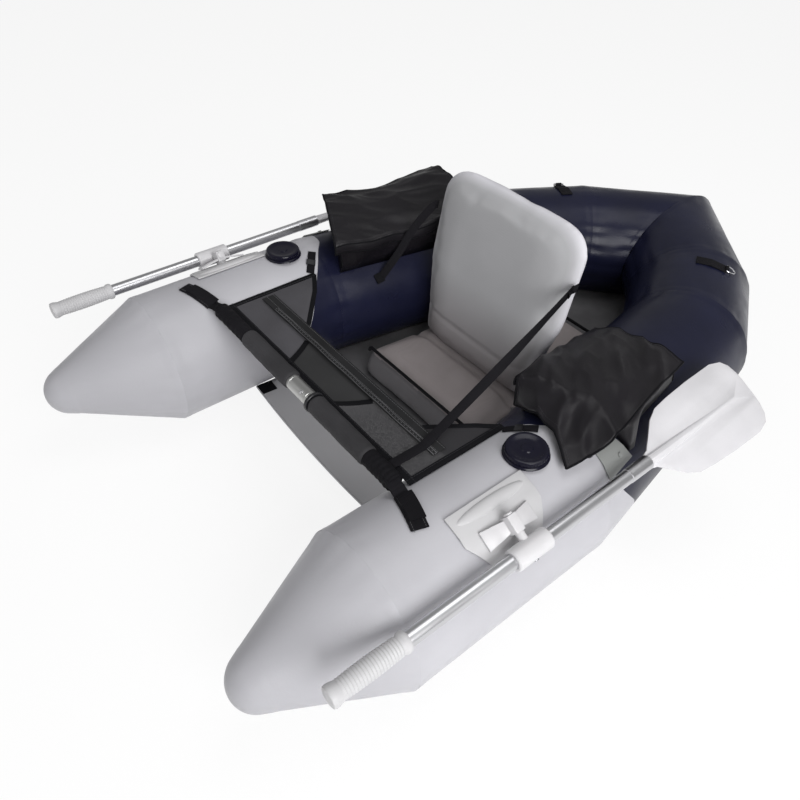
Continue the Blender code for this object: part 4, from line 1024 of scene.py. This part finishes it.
def makePocket(side):
    pocket = pockets[side]
    rows, lidRows = [], []
    across, footCount = 41, 18
    for share in np.linspace(0, 1, 90):
        middle = pocket["start"] + share * pocket["length"]
        ring = []
        outerAngle = float(np.interp(share, pocket["footPlaces"], pocket["footAngles"]))
        for angle in np.radians(np.linspace(pockets["innerAngle"], outerAngle, footCount)):
            x = boat["radius"] * sin(angle)
            ring.append(skinAt("side", middle + lean(pocket, share, x), angle, 0.0004))
        top = pocketTop(pocket, share, across)
        outer = sidePoint(middle + lean(pocket, share, top[0][0]), *top[0])
        inner = sidePoint(middle + lean(pocket, share, top[-1][0]), *top[-1])
        for step in (0.25, 0.5, 0.75):
            bulge = outboardOf("side") * (0.0015 * sin(pi * step))
            ring.append(ring[footCount - 1].lerp(outer, step) + bulge)
        for x, height in top:
            ring.append(sidePoint(middle + lean(pocket, share, x), x, height))
        for step in (0.25, 0.5, 0.75):
            bulge = outboardOf("side") * (-0.006 * sin(pi * step))
            ring.append(inner.lerp(ring[0], step) + bulge)
        for index in range(footCount, len(ring)):
            point = ring[index]
            isTop = footCount + 3 <= index < footCount + 3 + across
            amount = fold(point, pocket["seed"], pocket["folds"] if isTop else 1.0)
            if isTop:
                point = point + up * (amount - 0.0030)
            elif index < footCount + 3:
                # the outer wall keeps clear of the oar blade at its lowest
                point = point + outboardOf("side") * min(0.0, amount * 0.9 - 0.001)
            else:
                point = point - outboardOf("side") * (amount * 0.9 - 0.001) + headingOf("side") * amount * 0.3
            ring[index] = point
        rows.append(ring)
        lid = []
        stretch = (pocket["start"] + pocket["length"] / 2
                   + (share - 0.5) * (pocket["length"] + 2 * pockets["lidReach"]))
        for x, height in top:
            place = sidePoint(stretch + lean(pocket, share, x), x, height + pockets["lidClearance"] + 0.0012)
            lid.append(place + up * (fold(place, pocket["seed"], pocket["folds"]) + 0.0004))
        edge = lid[-1]
        for step in (0.2, 0.5, 0.8, 1.0):
            out = outboardOf("side") * (-0.0045 * sin(step * 2.2))
            wave = outboardOf("side") * (-0.0028 * sin(share * 16 + pocket["seed"]) * step)
            lid.append(edge + out + wave - up * (pockets["lip"] * step))
        lidRows.append(lid)
    bag = skinRows("pocketBag" + side.title(), rows, [bagNylon, bagWall])
    for face in bag.data.polygons:
        faced = face.normal.dot(outboardOf("side")) > pockets["outerWall"]
        face.material_index = 1 if faced and side == "left" else 0
    lidMesh = skinRows("pocketFlap" + side.title(), lidRows, bagNylon, closed=False)
    lidMesh = thicken(lidMesh, pockets["lidThickness"])
    lipEdge = [row[-1] for row in lidRows]
    trim = tubeAlong("trim", lidRows[0] + lipEdge[1:-1] + lidRows[-1][::-1], 0.0022, binding)
    seam = tubeAlong("seam", [row[across] - outboardOf("side") * 0.001 for row in lidRows], 0.0016, binding)
    hinge = tubeAlong("hinge", [row[0] for row in lidRows], 0.0020, binding)
    edges = joinPieces("flapBinding" + side.title(), [trim, seam, hinge])
    rings = [tubeAlong("corner", row[footCount:], 0.0018, binding) for row in (rows[0], rows[-1])]
    corners = joinPieces("bagPiping" + side.title(), rings)
    paths = [[point + up * 0.0016 for point in row[2:across - 1]] for row in (lidRows[2], lidRows[-3])]
    sewn = sewAlong("flapStitches" + side.title(), paths, threadBlack)
    made = [bag, lidMesh, edges, corners, sewn]
    if side == "right":
        mirrored = []
        for piece in made:
            twin = mirrorPiece(piece, piece.name + "R")
            name = piece.name
            bpy.data.objects.remove(piece)
            twin.name = name
            mirrored.append(twin)
        made = mirrored
    bag, lidMesh, edges, corners, sewn = made
    standFor(bag, "hull", "pocket_" + side)
    install(corners, "hull")
    lid = "pocket_lid_" + side
    standFor(lidMesh, lid, lid)
    install(edges, lid)
    install(sewn, lid)


makePocket("left")
makePocket("right")
print("pockets")


# Apron over the knees, the sheet below it and the cargo floor
apron = {
    "frontY": -0.5031,
    "strapY": -0.403,
    "rearY": -0.285,
    "halfWidth": 0.310,
    "innerPlaces": (-0.403, -0.323, -0.285),
    "innerWidthsLeft": (0.215, 0.270, 0.302),
    "innerWidthsRight": (0.145, 0.242, 0.302),
    "height": 0.2690,
    "sag": 0.006,
    "thickness": 0.0012,
}


def apronHalfInner(y, side):
    # the leg well's edge in the apron, behind the cross strap
    return float(np.interp(y, apron["innerPlaces"], apron["innerWidths" + ("Left" if side > 0 else "Right")]))


def netEdge(y):
    # where the close cloth in the middle ends and the net starts
    return 0.071 + (y + 0.499) * 0.588


def apronHeight(x, y):
    edge = 1 - (x / apron["halfWidth"]) ** 2
    dip = apron["sag"] * edge * sin(pi * min(1, max(0, (y - apron["frontY"]) / 0.10)))
    ripple = 0.0010 * noise.noise(xyz(x * 14, y * 22, 4))
    return apron["height"] - dip + ripple


def makeApron():
    faces, points, lookup = [], [], {}

    def pointAt(x, y):
        key = (round(x, 5), round(y, 5))
        if key not in lookup:
            lookup[key] = len(points)
            points.append(xyz(x, y, apronHeight(x, y)))
        return lookup[key]

    ys = [*np.linspace(apron["frontY"], apron["strapY"], 15)]
    ys += [*np.linspace(apron["strapY"], apron["rearY"], 17)][1:]
    columns = 60
    for low, high in zip(ys, ys[1:]):
        if high <= apron["strapY"] + 0.00001:
            for step in range(columns):
                x0 = -apron["halfWidth"] + 2 * apron["halfWidth"] * step / columns
                x1 = x0 + 2 * apron["halfWidth"] / columns
                faces.append((pointAt(x0, low), pointAt(x1, low), pointAt(x1, high), pointAt(x0, high)))
        else:
            for side in (-1, 1):
                for step in range(8):
                    inner0, inner1 = apronHalfInner(low, side), apronHalfInner(high, side)
                    outer = apron["halfWidth"]
                    shares = (step / 8, (step + 1) / 8)
                    quad = [
                        pointAt(side * (inner0 + (outer - inner0) * shares[0]), low),
                        pointAt(side * (inner0 + (outer - inner0) * shares[1]), low),
                        pointAt(side * (inner1 + (outer - inner1) * shares[1]), high),
                        pointAt(side * (inner1 + (outer - inner1) * shares[0]), high),
                    ]
                    quad = list(dict.fromkeys(quad))
                    if len(quad) > 2:
                        faces.append(tuple(quad))
    sheet = fixNormals(buildMesh("apronSheet", points, faces, apronCloth))
    paintPoints(sheet, "netLine", [abs(vertex.co.x) - netEdge(vertex.co.y) for vertex in sheet.data.vertices])
    standFor(sheet, "hull", "apron")
    halfWidth = apron["halfWidth"]
    along, across = xyz(0, 1, 0), xyz(1, 0, 0)
    frontY = apron["frontY"] + 0.006
    front = [xyz(x, frontY, apronHeight(x, frontY)) for x in np.linspace(-halfWidth, halfWidth, 50)]
    rims = [ribbon("rim", front, along, 0.007, 0.0022, binding)]
    outerYs = np.linspace(apron["frontY"], apron["rearY"], 30)
    innerYs = np.linspace(apron["strapY"] + 0.001, apron["rearY"] - 0.004, 24)
    slantPlaces = [*zip(np.linspace(0.071, 0.111, 12), np.linspace(-0.499, -0.431, 12))]
    for side in (-1, 1):
        outer = [xyz(side * (halfWidth - 0.006), y, apronHeight(halfWidth, y)) for y in outerYs]
        inner = [xyz(side * (apronHalfInner(y, side) + 0.005), y, apronHeight(halfWidth, y) + 0.0004)
                 for y in innerYs]
        slant = [xyz(side * x, y, apronHeight(x, y) + 0.0012) for x, y in slantPlaces]
        for path, half, thick in ((outer, 0.0065, 0.0022), (inner, 0.0050, 0.0022), (slant, 0.0055, 0.0016)):
            rims.append(ribbon("rim", path, across, half, thick, binding))
    rims = joinPieces("apronBinding", rims)
    install(rims, "hull")
    paths = [[point + up * 0.0013 + xyz(0, 0.0045, 0) for point in front]]
    for side in (-1, 1):
        x = side * (halfWidth - 0.0095)
        paths.append([xyz(x, y, apronHeight(halfWidth, y) + 0.0014) for y in outerYs])
    sewn = sewAlong("apronStitches", paths, threadBlack)
    install(sewn, "hull")


makeApron()


def makeCrossStrap():
    path = [xyz(x, -0.418, 0.27175) for x in np.linspace(-0.285, 0.285, 60)]
    strap = ribbon("crossStrap", path, xyz(0, 1, 0), 0.015, 0.0024, strapCloth)
    standFor(strap, "hull", "cross_strap")
    zipPaths = []
    for y in (-0.4310, -0.4240):
        zipPath = [xyz(x, y + 0.0006 * sin(x * 60), 0.2734) for x in np.linspace(-0.235, 0.285, 80)]
        zipPaths.append(tubeAlong("zip", zipPath, 0.0008, zipTape, 6))
    install(joinPieces("zipTapes", zipPaths), "hull")
    teeth = [[xyz(x, -0.4275, 0.2734) for x in np.linspace(-0.235, 0.285, 10)]]
    install(sewAlong("zipTeeth", teeth, zipTape, 0.0085, 0.0030, 0.0006), "hull")
    seams = [[xyz(x, y, 0.2731) for x in np.linspace(-0.283, 0.283, 10)] for y in (-0.4065, -0.4215)]
    install(sewAlong("crossStitches", seams, threadGrey), "hull")


makeCrossStrap()


def spreaderFrontY(x):
    return -0.486 + 0.013 * (x / 0.2973) ** 2


def makeBottomSheets():
    # the light sheet below the bar, between the tubes' undersides
    rows = []
    for y in np.linspace(0, 1, 14):
        row = []
        for x in np.linspace(-0.2965, 0.2965, 50):
            front = spreaderFrontY(x)
            place = front + (-0.412 - front) * y
            wave = 0.0009 * noise.noise(xyz(x * 16, place * 16, 2))
            row.append(xyz(x, place, 0.0283 + wave))
        rows.append(row)
    sheet = skinRows("spreaderSheet", rows, sheetCoat, closed=False)
    sheet = thicken(sheet, 0.0016)
    standFor(sheet, "hull", "bottom_spreader")
    parts = []
    for side in (-1, 1):
        path = [xyz(side * x, spreaderFrontY(x) + 0.020, 0.0297) for x in np.linspace(0.262, 0.2965, 6)]
        parts.append(ribbon("tab", path, xyz(0, 1, 0), 0.019, 0.0016, binding))
    edge = [xyz(x, spreaderFrontY(x) + 0.001, 0.0283) for x in np.linspace(-0.2965, 0.2965, 60)]
    parts.append(tubeAlong("edge", edge, 0.0022, sheetCoat))
    tabs = joinPieces("spreaderTabs", parts)
    install(tabs, "hull")


makeBottomSheets()


def makeCargoFloor():
    rows = []
    height = 0.0286
    for share in np.linspace(0, 1, 70):
        y = -0.258 + share * 0.8265
        reach = max(0.0015, innerX(y, height, boat["runs"]) + 0.004)
        row = []
        for place in np.linspace(-1, 1, 40):
            wave = 0.0008 * noise.noise(xyz(place * 4, y * 12, 7))
            row.append(xyz(reach * place, y, height + wave))
        rows.append(row)
    sheet = skinRows("cargoSheet", rows, floorCoat, closed=False)
    sheet = thicken(sheet, 0.0014)
    standFor(sheet, "hull", "cargo_floor")


makeCargoFloor()
print("apron and sheets")


# Straps
def patchOn(run, name, stations, halfWidth, lift, thickness, material):
    # a strap laid on a tube: stations hold an angle and a place along it
    path = []
    for share in np.linspace(0, 1, 16):
        angle = stations[0][0] + share * (stations[1][0] - stations[0][0])
        along = stations[0][1] + share * (stations[1][1] - stations[0][1])
        path.append(skinAt(run, along, angle, lift + thickness / 2))
    return ribbon(name, path, headingOf(run), halfWidth, thickness, material)


def makeApronStraps():
    stations = [(radians(-31), 0.366), (radians(-11), 0.403)]
    strap = patchOn("front", "apronTie", stations, 0.009, 0.0004, 0.0023, webbing)
    ends = [skinAt("front", 0.378, radians(-24), 0.0036), skinAt("front", 0.386, radians(-19.5), 0.0036)]
    buckle = ribbon("buckle", ends, headingOf("front"), 0.0105, 0.0022, blackPlastic)
    standForBoth(joinPieces("apronTieLeft", [strap, buckle]), "hull", "apron_strap")


makeApronStraps()


def makeBackStraps():
    anchor = xyz(0.2062, -0.0242, 0.4003)
    tail = xyz(0.2064, -0.0072, 0.4003)
    landing = xyz(0.260, -0.435, 0.2746)
    end = xyz(0.260, -0.5035, 0.2746)
    route = [tail, anchor]
    for share in np.linspace(0.04, 0.96, 26):
        sag = 0.006 * sin(pi * share)
        route.append(anchor.lerp(landing, share) - up * sag)
    route += [landing, landing.lerp(end, 0.5), end]
    ways = []
    for index in range(len(route)):
        turn = min(1.0, max(0.0, (index - 1) / (len(route) - 5)))
        turn = turn * turn * (3 - 2 * turn)
        ways.append(up * (1 - turn) - xyz(1, 0, 0) * turn)
    strap = ribbon("backStrapLeft", route, ways, 0.009, 0.0022, webbing)
    bend = smoothPath([(0.2062, -0.0262, 0.409), (0.2120, -0.0322, 0.4060), (0.2118, -0.0352, 0.3960),
                       (0.2066, -0.0300, 0.3925)], 10)
    loop = ribbon("loop", bend, xyz(0, 0.5, 1), 0.006, 0.0018, webbing)
    strap = joinPieces("backStrapLeft", [strap, loop])
    strap.name = "backStrapLeft"
    standFor(strap, "hull", "backrest_strap_left")
    low = skinAt("side", 0.128, radians(-53), 0.006)
    path = smoothPath([tail, anchor, anchor.lerp(low, 0.3) + xyz(0.004, -0.006, 0),
                       anchor.lerp(low, 0.65) + xyz(0.002, 0.002, 0), low], 30)
    ways = [up.lerp(up + xyz(0.8, 0, 0), share) for share in np.linspace(0, 1, 30)]
    loose = ribbon("backStrapRightRaw", path, ways, 0.009, 0.0022, webbing)
    clip = ribbon("clip", [low + xyz(0, 0.003, -0.001), low + xyz(0.003, -0.016, -0.006)],
                  up + xyz(1, 0, 0), 0.0115, 0.005, binding)
    loose = joinPieces("looseRaw", [loose, clip])
    twin = mirrorPiece(loose, "backStrapRight")
    bpy.data.objects.remove(loose)
    standFor(twin, "hull", "backrest_strap_right")


makeBackStraps()
print("straps")


bar = {"y": -0.524, "z": 0.275, "rod": 0.0125, "coupler": 0.0153, "groove": 0.0006}


def barPiece(name, profile, start, material):
    return turned(name, profile, xyz(start, bar["y"], bar["z"]), xyz(1, 0, 0), material)


def barSkin(name, start, end, count, radiusAt, material):
    # an uneven sleeve round the bar, with its radius by share and direction
    rows = []
    for share in np.linspace(0, 1, count):
        x = start + share * (end - start)
        row = []
        for angle in turns(40):
            point = xyz(x, cos(angle), sin(angle))
            radius = radiusAt(share, x, point)
            row.append(xyz(x, bar["y"] + radius * point.y, bar["z"] + radius * point.z))
        rows.append(row)
    return skinRows(name, rows, material)


def pipe(outer, inner, length, edge=0.0008):
    return [(inner, 0), (outer - edge, 0), (outer, edge), (outer, length - edge), (outer - edge, length),
            (inner, length), (inner, 0)]


def makeBar():
    for side, start, end in (("left", 0.0183, 0.2893), ("right", -0.2893, 0.0177)):
        rod = barPiece("barRod" + side.title(), pipe(bar["rod"], 0.011, end - start), start, aluminiumAlongX)
        standFor(rod, "hull", "bar_rod_" + side)
    full, deep = bar["coupler"], bar["coupler"] - bar["groove"]
    profile = [(0.0128, 0), (0.0150, 0), (full, 0.0006), (full, 0.006), (deep, 0.0066), (deep, 0.0078),
               (full, 0.0084), (full, 0.0596), (deep, 0.0602), (deep, 0.0614), (full, 0.062),
               (full, 0.0674), (0.0150, 0.068), (0.0128, 0.068), (0.0128, 0)]
    coupler = barPiece("barCoupler", profile, -0.016, aluminiumAlongX)
    button = turned("button", [(0.0, 0), (0.0040, 0), (0.0040, 0.0012), (0.0030, 0.0020), (0.0, 0.0022)],
                    xyz(0.030, bar["y"] - 0.0095, bar["z"] + 0.0117), xyz(0, -0.63, 0.777), brightSteel, 20)
    standFor(joinPieces("barCoupler", [coupler, button]), "hull", "bar_coupler")
    ringProfile = [(0.0129, 0), (0.0196, 0), (0.0206, 0.0010), (0.0206, 0.006), (0.0196, 0.007),
                   (0.0129, 0.007), (0.0129, 0)]
    ring = [barPiece("lockRing", ringProfile, 0.0523, blackPlastic)]
    half = xyz(0.0026, 0, 0)
    for angle in turns(24):
        centre = xyz(0.0558, bar["y"] + 0.0203 * cos(angle), bar["z"] + 0.0203 * sin(angle))
        ring.append(tubeAlong("rib", [centre - half, centre + half], 0.0007, blackPlastic, 6))
    standFor(joinPieces("lockRing", ring), "lock_ring", "bar_lock_ring")
    for side, start, end in (("left", 0.0596, 0.2246), ("right", -0.1813, -0.0163)):
        def foamRadius(share, x, point):
            fromEnd = min(share, 1 - share) * (end - start)
            drawn = 0.0035 * max(0.0, 1 - fromEnd / 0.006) ** 2
            lump = 0.0011 * noise.noise(xyz(x * 34, point.y * 1.4, point.z * 1.4))
            return 0.0191 - drawn + min(0.0006, lump)

        foam = barSkin("foamGrip" + side.title(), start, end, 70, foamRadius, foamSkin)
        standFor(foam, "hull", "foam_sleeve_" + side)


makeBar()


def sleeveRadius(share, x, point):
    # webbing that is gathered more towards the tube
    wrinkle = 0.0012 * noise.noise(xyz(x * 60, point.y * 1.6, point.z * 1.6))
    gather = 0.0012 * sin(share * 38) * (0.4 + 0.6 * share)
    return 0.0169 + wrinkle + gather * 0.5


def makeBarStraps():
    for side, start in (("left", 0.2249), ("right", 0.1816)):
        straps = [barSkin("sleeve", start, 0.2945, 44, sleeveRadius, webbing)]
        for layer in (0, 1):
            stations = [(radians(-26), 0.1265 + 0.004 * layer),
                        (radians(4.5 - 6 * layer), 0.1005 + 0.008 * layer)]
            straps.append(patchOn("front", "strap", stations, 0.015 - 0.001 * layer, 0.0004 + 0.0025 * layer,
                                  0.0024, webbing))
        bridge = smoothPath([(0.2860, bar["y"] - 0.004, bar["z"] + 0.010),
                             (0.3010, bar["y"] - 0.006, bar["z"] + 0.0085),
                             skinAt("front", 0.126, radians(-26), 0.002),
                             skinAt("front", 0.122, radians(-21), 0.0026)], 12)
        straps.append(ribbon("bridge", bridge, xyz(0, 1, 0), 0.0135, 0.0024, webbing))
        paths = []
        for offset in (-0.011, 0.011):
            paths.append([
                skinAt("front", 0.1265 - 0.026 * share + offset, radians(-26 + 30.5 * share), 0.0031)
                for share in np.linspace(0, 1, 14)
            ])
        straps.append(sewAlong("stitch", paths, threadGrey, 0.0045, 0.003, 0.0004))
        made = joinPieces("barStrapRaw" + side.title(), straps)
        if side == "right":
            twin = mirrorPiece(made, "barStrapRight")
            bpy.data.objects.remove(made)
            made = twin
        else:
            made.name = "barStrapLeft"
        standFor(made, "hull", "bar_strap_" + side)


makeBarStraps()
print("bar")


# Oars: shaft and grip are turned here, the blade is a softened copy of the solid
oar = {"x": 0.516, "z": 0.265, "shaft": 0.0125}


def makeOars():
    full = oar["shaft"]
    ring = full + 0.0007
    shaftProfile = [
        (0.0105, 0.0), (0.0120, 0.0), (full, 0.0006), (full, 0.118), (ring, 0.1186), (ring, 0.1226),
        (full, 0.1232), (full, 0.600), (0.0119, 0.6006), (0.0119, 0.6018), (ring, 0.6026),
        (ring, 0.6556), (0.0124, 0.6564), (0.0105, 0.6564), (0.0105, 0.0),
    ]
    gripProfile = [(0.0, 0.0), (0.0120, 0.0), (0.0156, 0.0012), (0.0170, 0.0040), (0.0170, 0.0090),
                   (0.0158, 0.0140)]
    for step in range(40):
        share = step / 39
        swell = 0.0148 + 0.0014 * sin(pi * share) + 0.0005 * cos(step * pi)
        gripProfile.append((swell, 0.0165 + 0.100 * share))
    gripProfile += [(0.0150, 0.1190), (0.0166, 0.1215), (0.0170, 0.1245), (0.0166, 0.1285), (0.0150, 0.1308),
                    (0.0127, 0.1310), (0.0127, 0.0084), (0.0, 0.0084)]
    axis = xyz(0, 1, 0)
    shaft = turned("oarShaftLeft", shaftProfile, xyz(oar["x"], -0.7987, oar["z"]), axis, aluminiumAlongY)
    grip = turned("oarGripLeft", gripProfile, xyz(oar["x"], -0.8070, oar["z"]), axis, rubberGrey)
    standForBoth(shaft, "oar", "oar_shaft")
    standForBoth(grip, "oar", "oar_grip")


makeOars()


# Moulded and welded fittings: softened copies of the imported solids
fittings = (
    ("oar_blade", "oar", bladePlastic, 0.0016),
    ("oar_collar", "collar", whitePlastic, 0.0014),
    ("oarlock_yoke", "yoke", whitePlastic, 0.0012),
    ("oarlock_base", "hull", rubberGrey, 0.0008),
    ("oar_clip", "hull", clipRubber, 0.0008),
    ("d_ring_patch", "hull", webbing, 0.0005),
    ("valve_body", "hull", valvePlastic, 0.0010),
)


def makeFittings():
    for node, body, material, width in fittings:
        for side in ("left", "right"):
            name = node.title().replace("_", "")
            piece = cadCopy(f"{node}_{side}", name[0].lower() + name[1:] + side.title(), material)
            addModifier(piece, "BEVEL", width=width, segments=2, limit_method="ANGLE",
                        angle_limit=radians(32))
            piece = bake(piece)
            piece.data.shade_smooth()
            piece.data.set_sharp_from_angle(angle=radians(35))
            standFor(piece, body if body == "hull" else f"{body}_{side}", f"{node}_{side}")
    for side in ("left", "right"):
        for node in ("collar_screw", "oarlock_pin", "d_ring"):
            dress(f"{node}_{side}", brightSteel)


makeFittings()


def makeValveCaps():
    centre = xyz(0.388, -0.316, 0.2956)
    profile = [
        (0.0, 0.0), (0.0370, 0.0), (0.0378, 0.0008), (0.0378, 0.0070), (0.0366, 0.0088), (0.0340, 0.0096),
        (0.0300, 0.0092), (0.0270, 0.0078), (0.0200, 0.0072), (0.0110, 0.0072), (0.0095, 0.0086),
        (0.0004, 0.0086),
    ]
    parts = [turned("valveCapLeft", profile, centre, up, valvePlastic, 72)]
    for angle in turns(40):
        foot = centre + xyz(0.0377 * cos(angle), 0.0377 * sin(angle), 0.0010)
        parts.append(tubeAlong("rib", [foot, foot + up * 0.0060], 0.0007, valvePlastic, 6))
    cap = joinPieces("valveCapLeft", parts)
    standForBoth(cap, "valve_cap", "valve_cap")


makeValveCaps()
print("oars and fittings")


# Floor, light and camera
studio = {
    "floorColour": (0.97, 0.97, 0.97),
    "floorHalf": 14,
    "floorZ": -0.0005,
    "floorGlow": 0.86,
    "skyStrength": 0.33,
    "aim": (0, 0, 0.15),
    "lamps": {
        "keyLight": {"place": (3.2, -1.2, 2.0), "size": 2.6, "power": 122.0},
        "fillLight": {"place": (-1.4, -3.2, 2.2), "size": 2.6, "power": 10.0},
        "topLight": {"place": (0.3, 0.5, 3.2), "size": 2.0, "power": 22.0},
    },
}


def makeStudio():
    # camera, mirror and see-through rays meet a white floor and sky
    ground = startMaterial("studioFloor", studio["floorColour"], 0.9)
    rays = addNode(ground, "LightPath").outputs
    seen = mathNode(ground, "MAXIMUM", rays["Is Camera Ray"], rays["Is Glossy Ray"])
    seen = mathNode(ground, "MAXIMUM", seen, rays["Is Transmission Ray"])
    glow = addNode(ground, "Emission", Color=(1, 1, 1, 1), Strength=1.0)
    mix = addNode(ground, "MixShader", Fac=mathNode(ground, "MULTIPLY", seen, studio["floorGlow"]))
    feed(ground, mix.inputs[1], shaderOf(ground).outputs[0])
    feed(ground, mix.inputs[2], glow.outputs[0])
    feed(ground, ground.node_tree.nodes["Material Output"].inputs["Surface"], mix.outputs[0])
    half, z = studio["floorHalf"], studio["floorZ"]
    corners = [(-half, -half, z), (half, -half, z), (half, half, z), (-half, half, z)]
    buildMesh("studioFloor", corners, [(0, 1, 2, 3)], ground)

    world = bpy.data.worlds.new("studioSky")
    scene.world = world
    world.use_nodes = True
    background = world.node_tree.nodes["Background"]
    background.inputs["Color"].default_value = (1, 1, 1, 1)
    rays = addNode(world, "LightPath").outputs
    seen = mathNode(world, "MAXIMUM", rays["Is Camera Ray"], rays["Is Transmission Ray"])
    feed(world, background.inputs["Strength"], rangeNode(world, seen, studio["skyStrength"], 1.0, 0.0, 1.0))

    for name, values in studio["lamps"].items():
        lamp = bpy.data.lights.new(name, "AREA")
        lamp.shape = "DISK"
        lamp.size = values["size"]
        lamp.energy = values["power"]
        light = addPiece(name, lamp)
        light.location = values["place"]
        towards = Vector(studio["aim"]) - Vector(values["place"])
        light.rotation_euler = towards.to_track_quat("-Z", "Y").to_euler()


def makeCamera():
    camera = bpy.data.cameras.new("camera")
    camera.lens = 30.88
    camera.sensor_width = 36
    camera.clip_start = 0.05
    viewer = addPiece("camera", camera)
    rear = xyz(0.5568, -0.4673, 0.6867).normalized()
    above = rear.cross(xyz(0.6224, 0.7822, 0.0275).normalized()).normalized()
    turn = Matrix((above.cross(rear), above, rear)).transposed().to_4x4()
    viewer.matrix_world = Matrix.Translation(xyz(0.8508, -0.9859, 1.1444)) @ turn
    scene.camera = viewer


makeStudio()
makeCamera()
scene.view_settings.view_transform = "Standard"
print("studio")
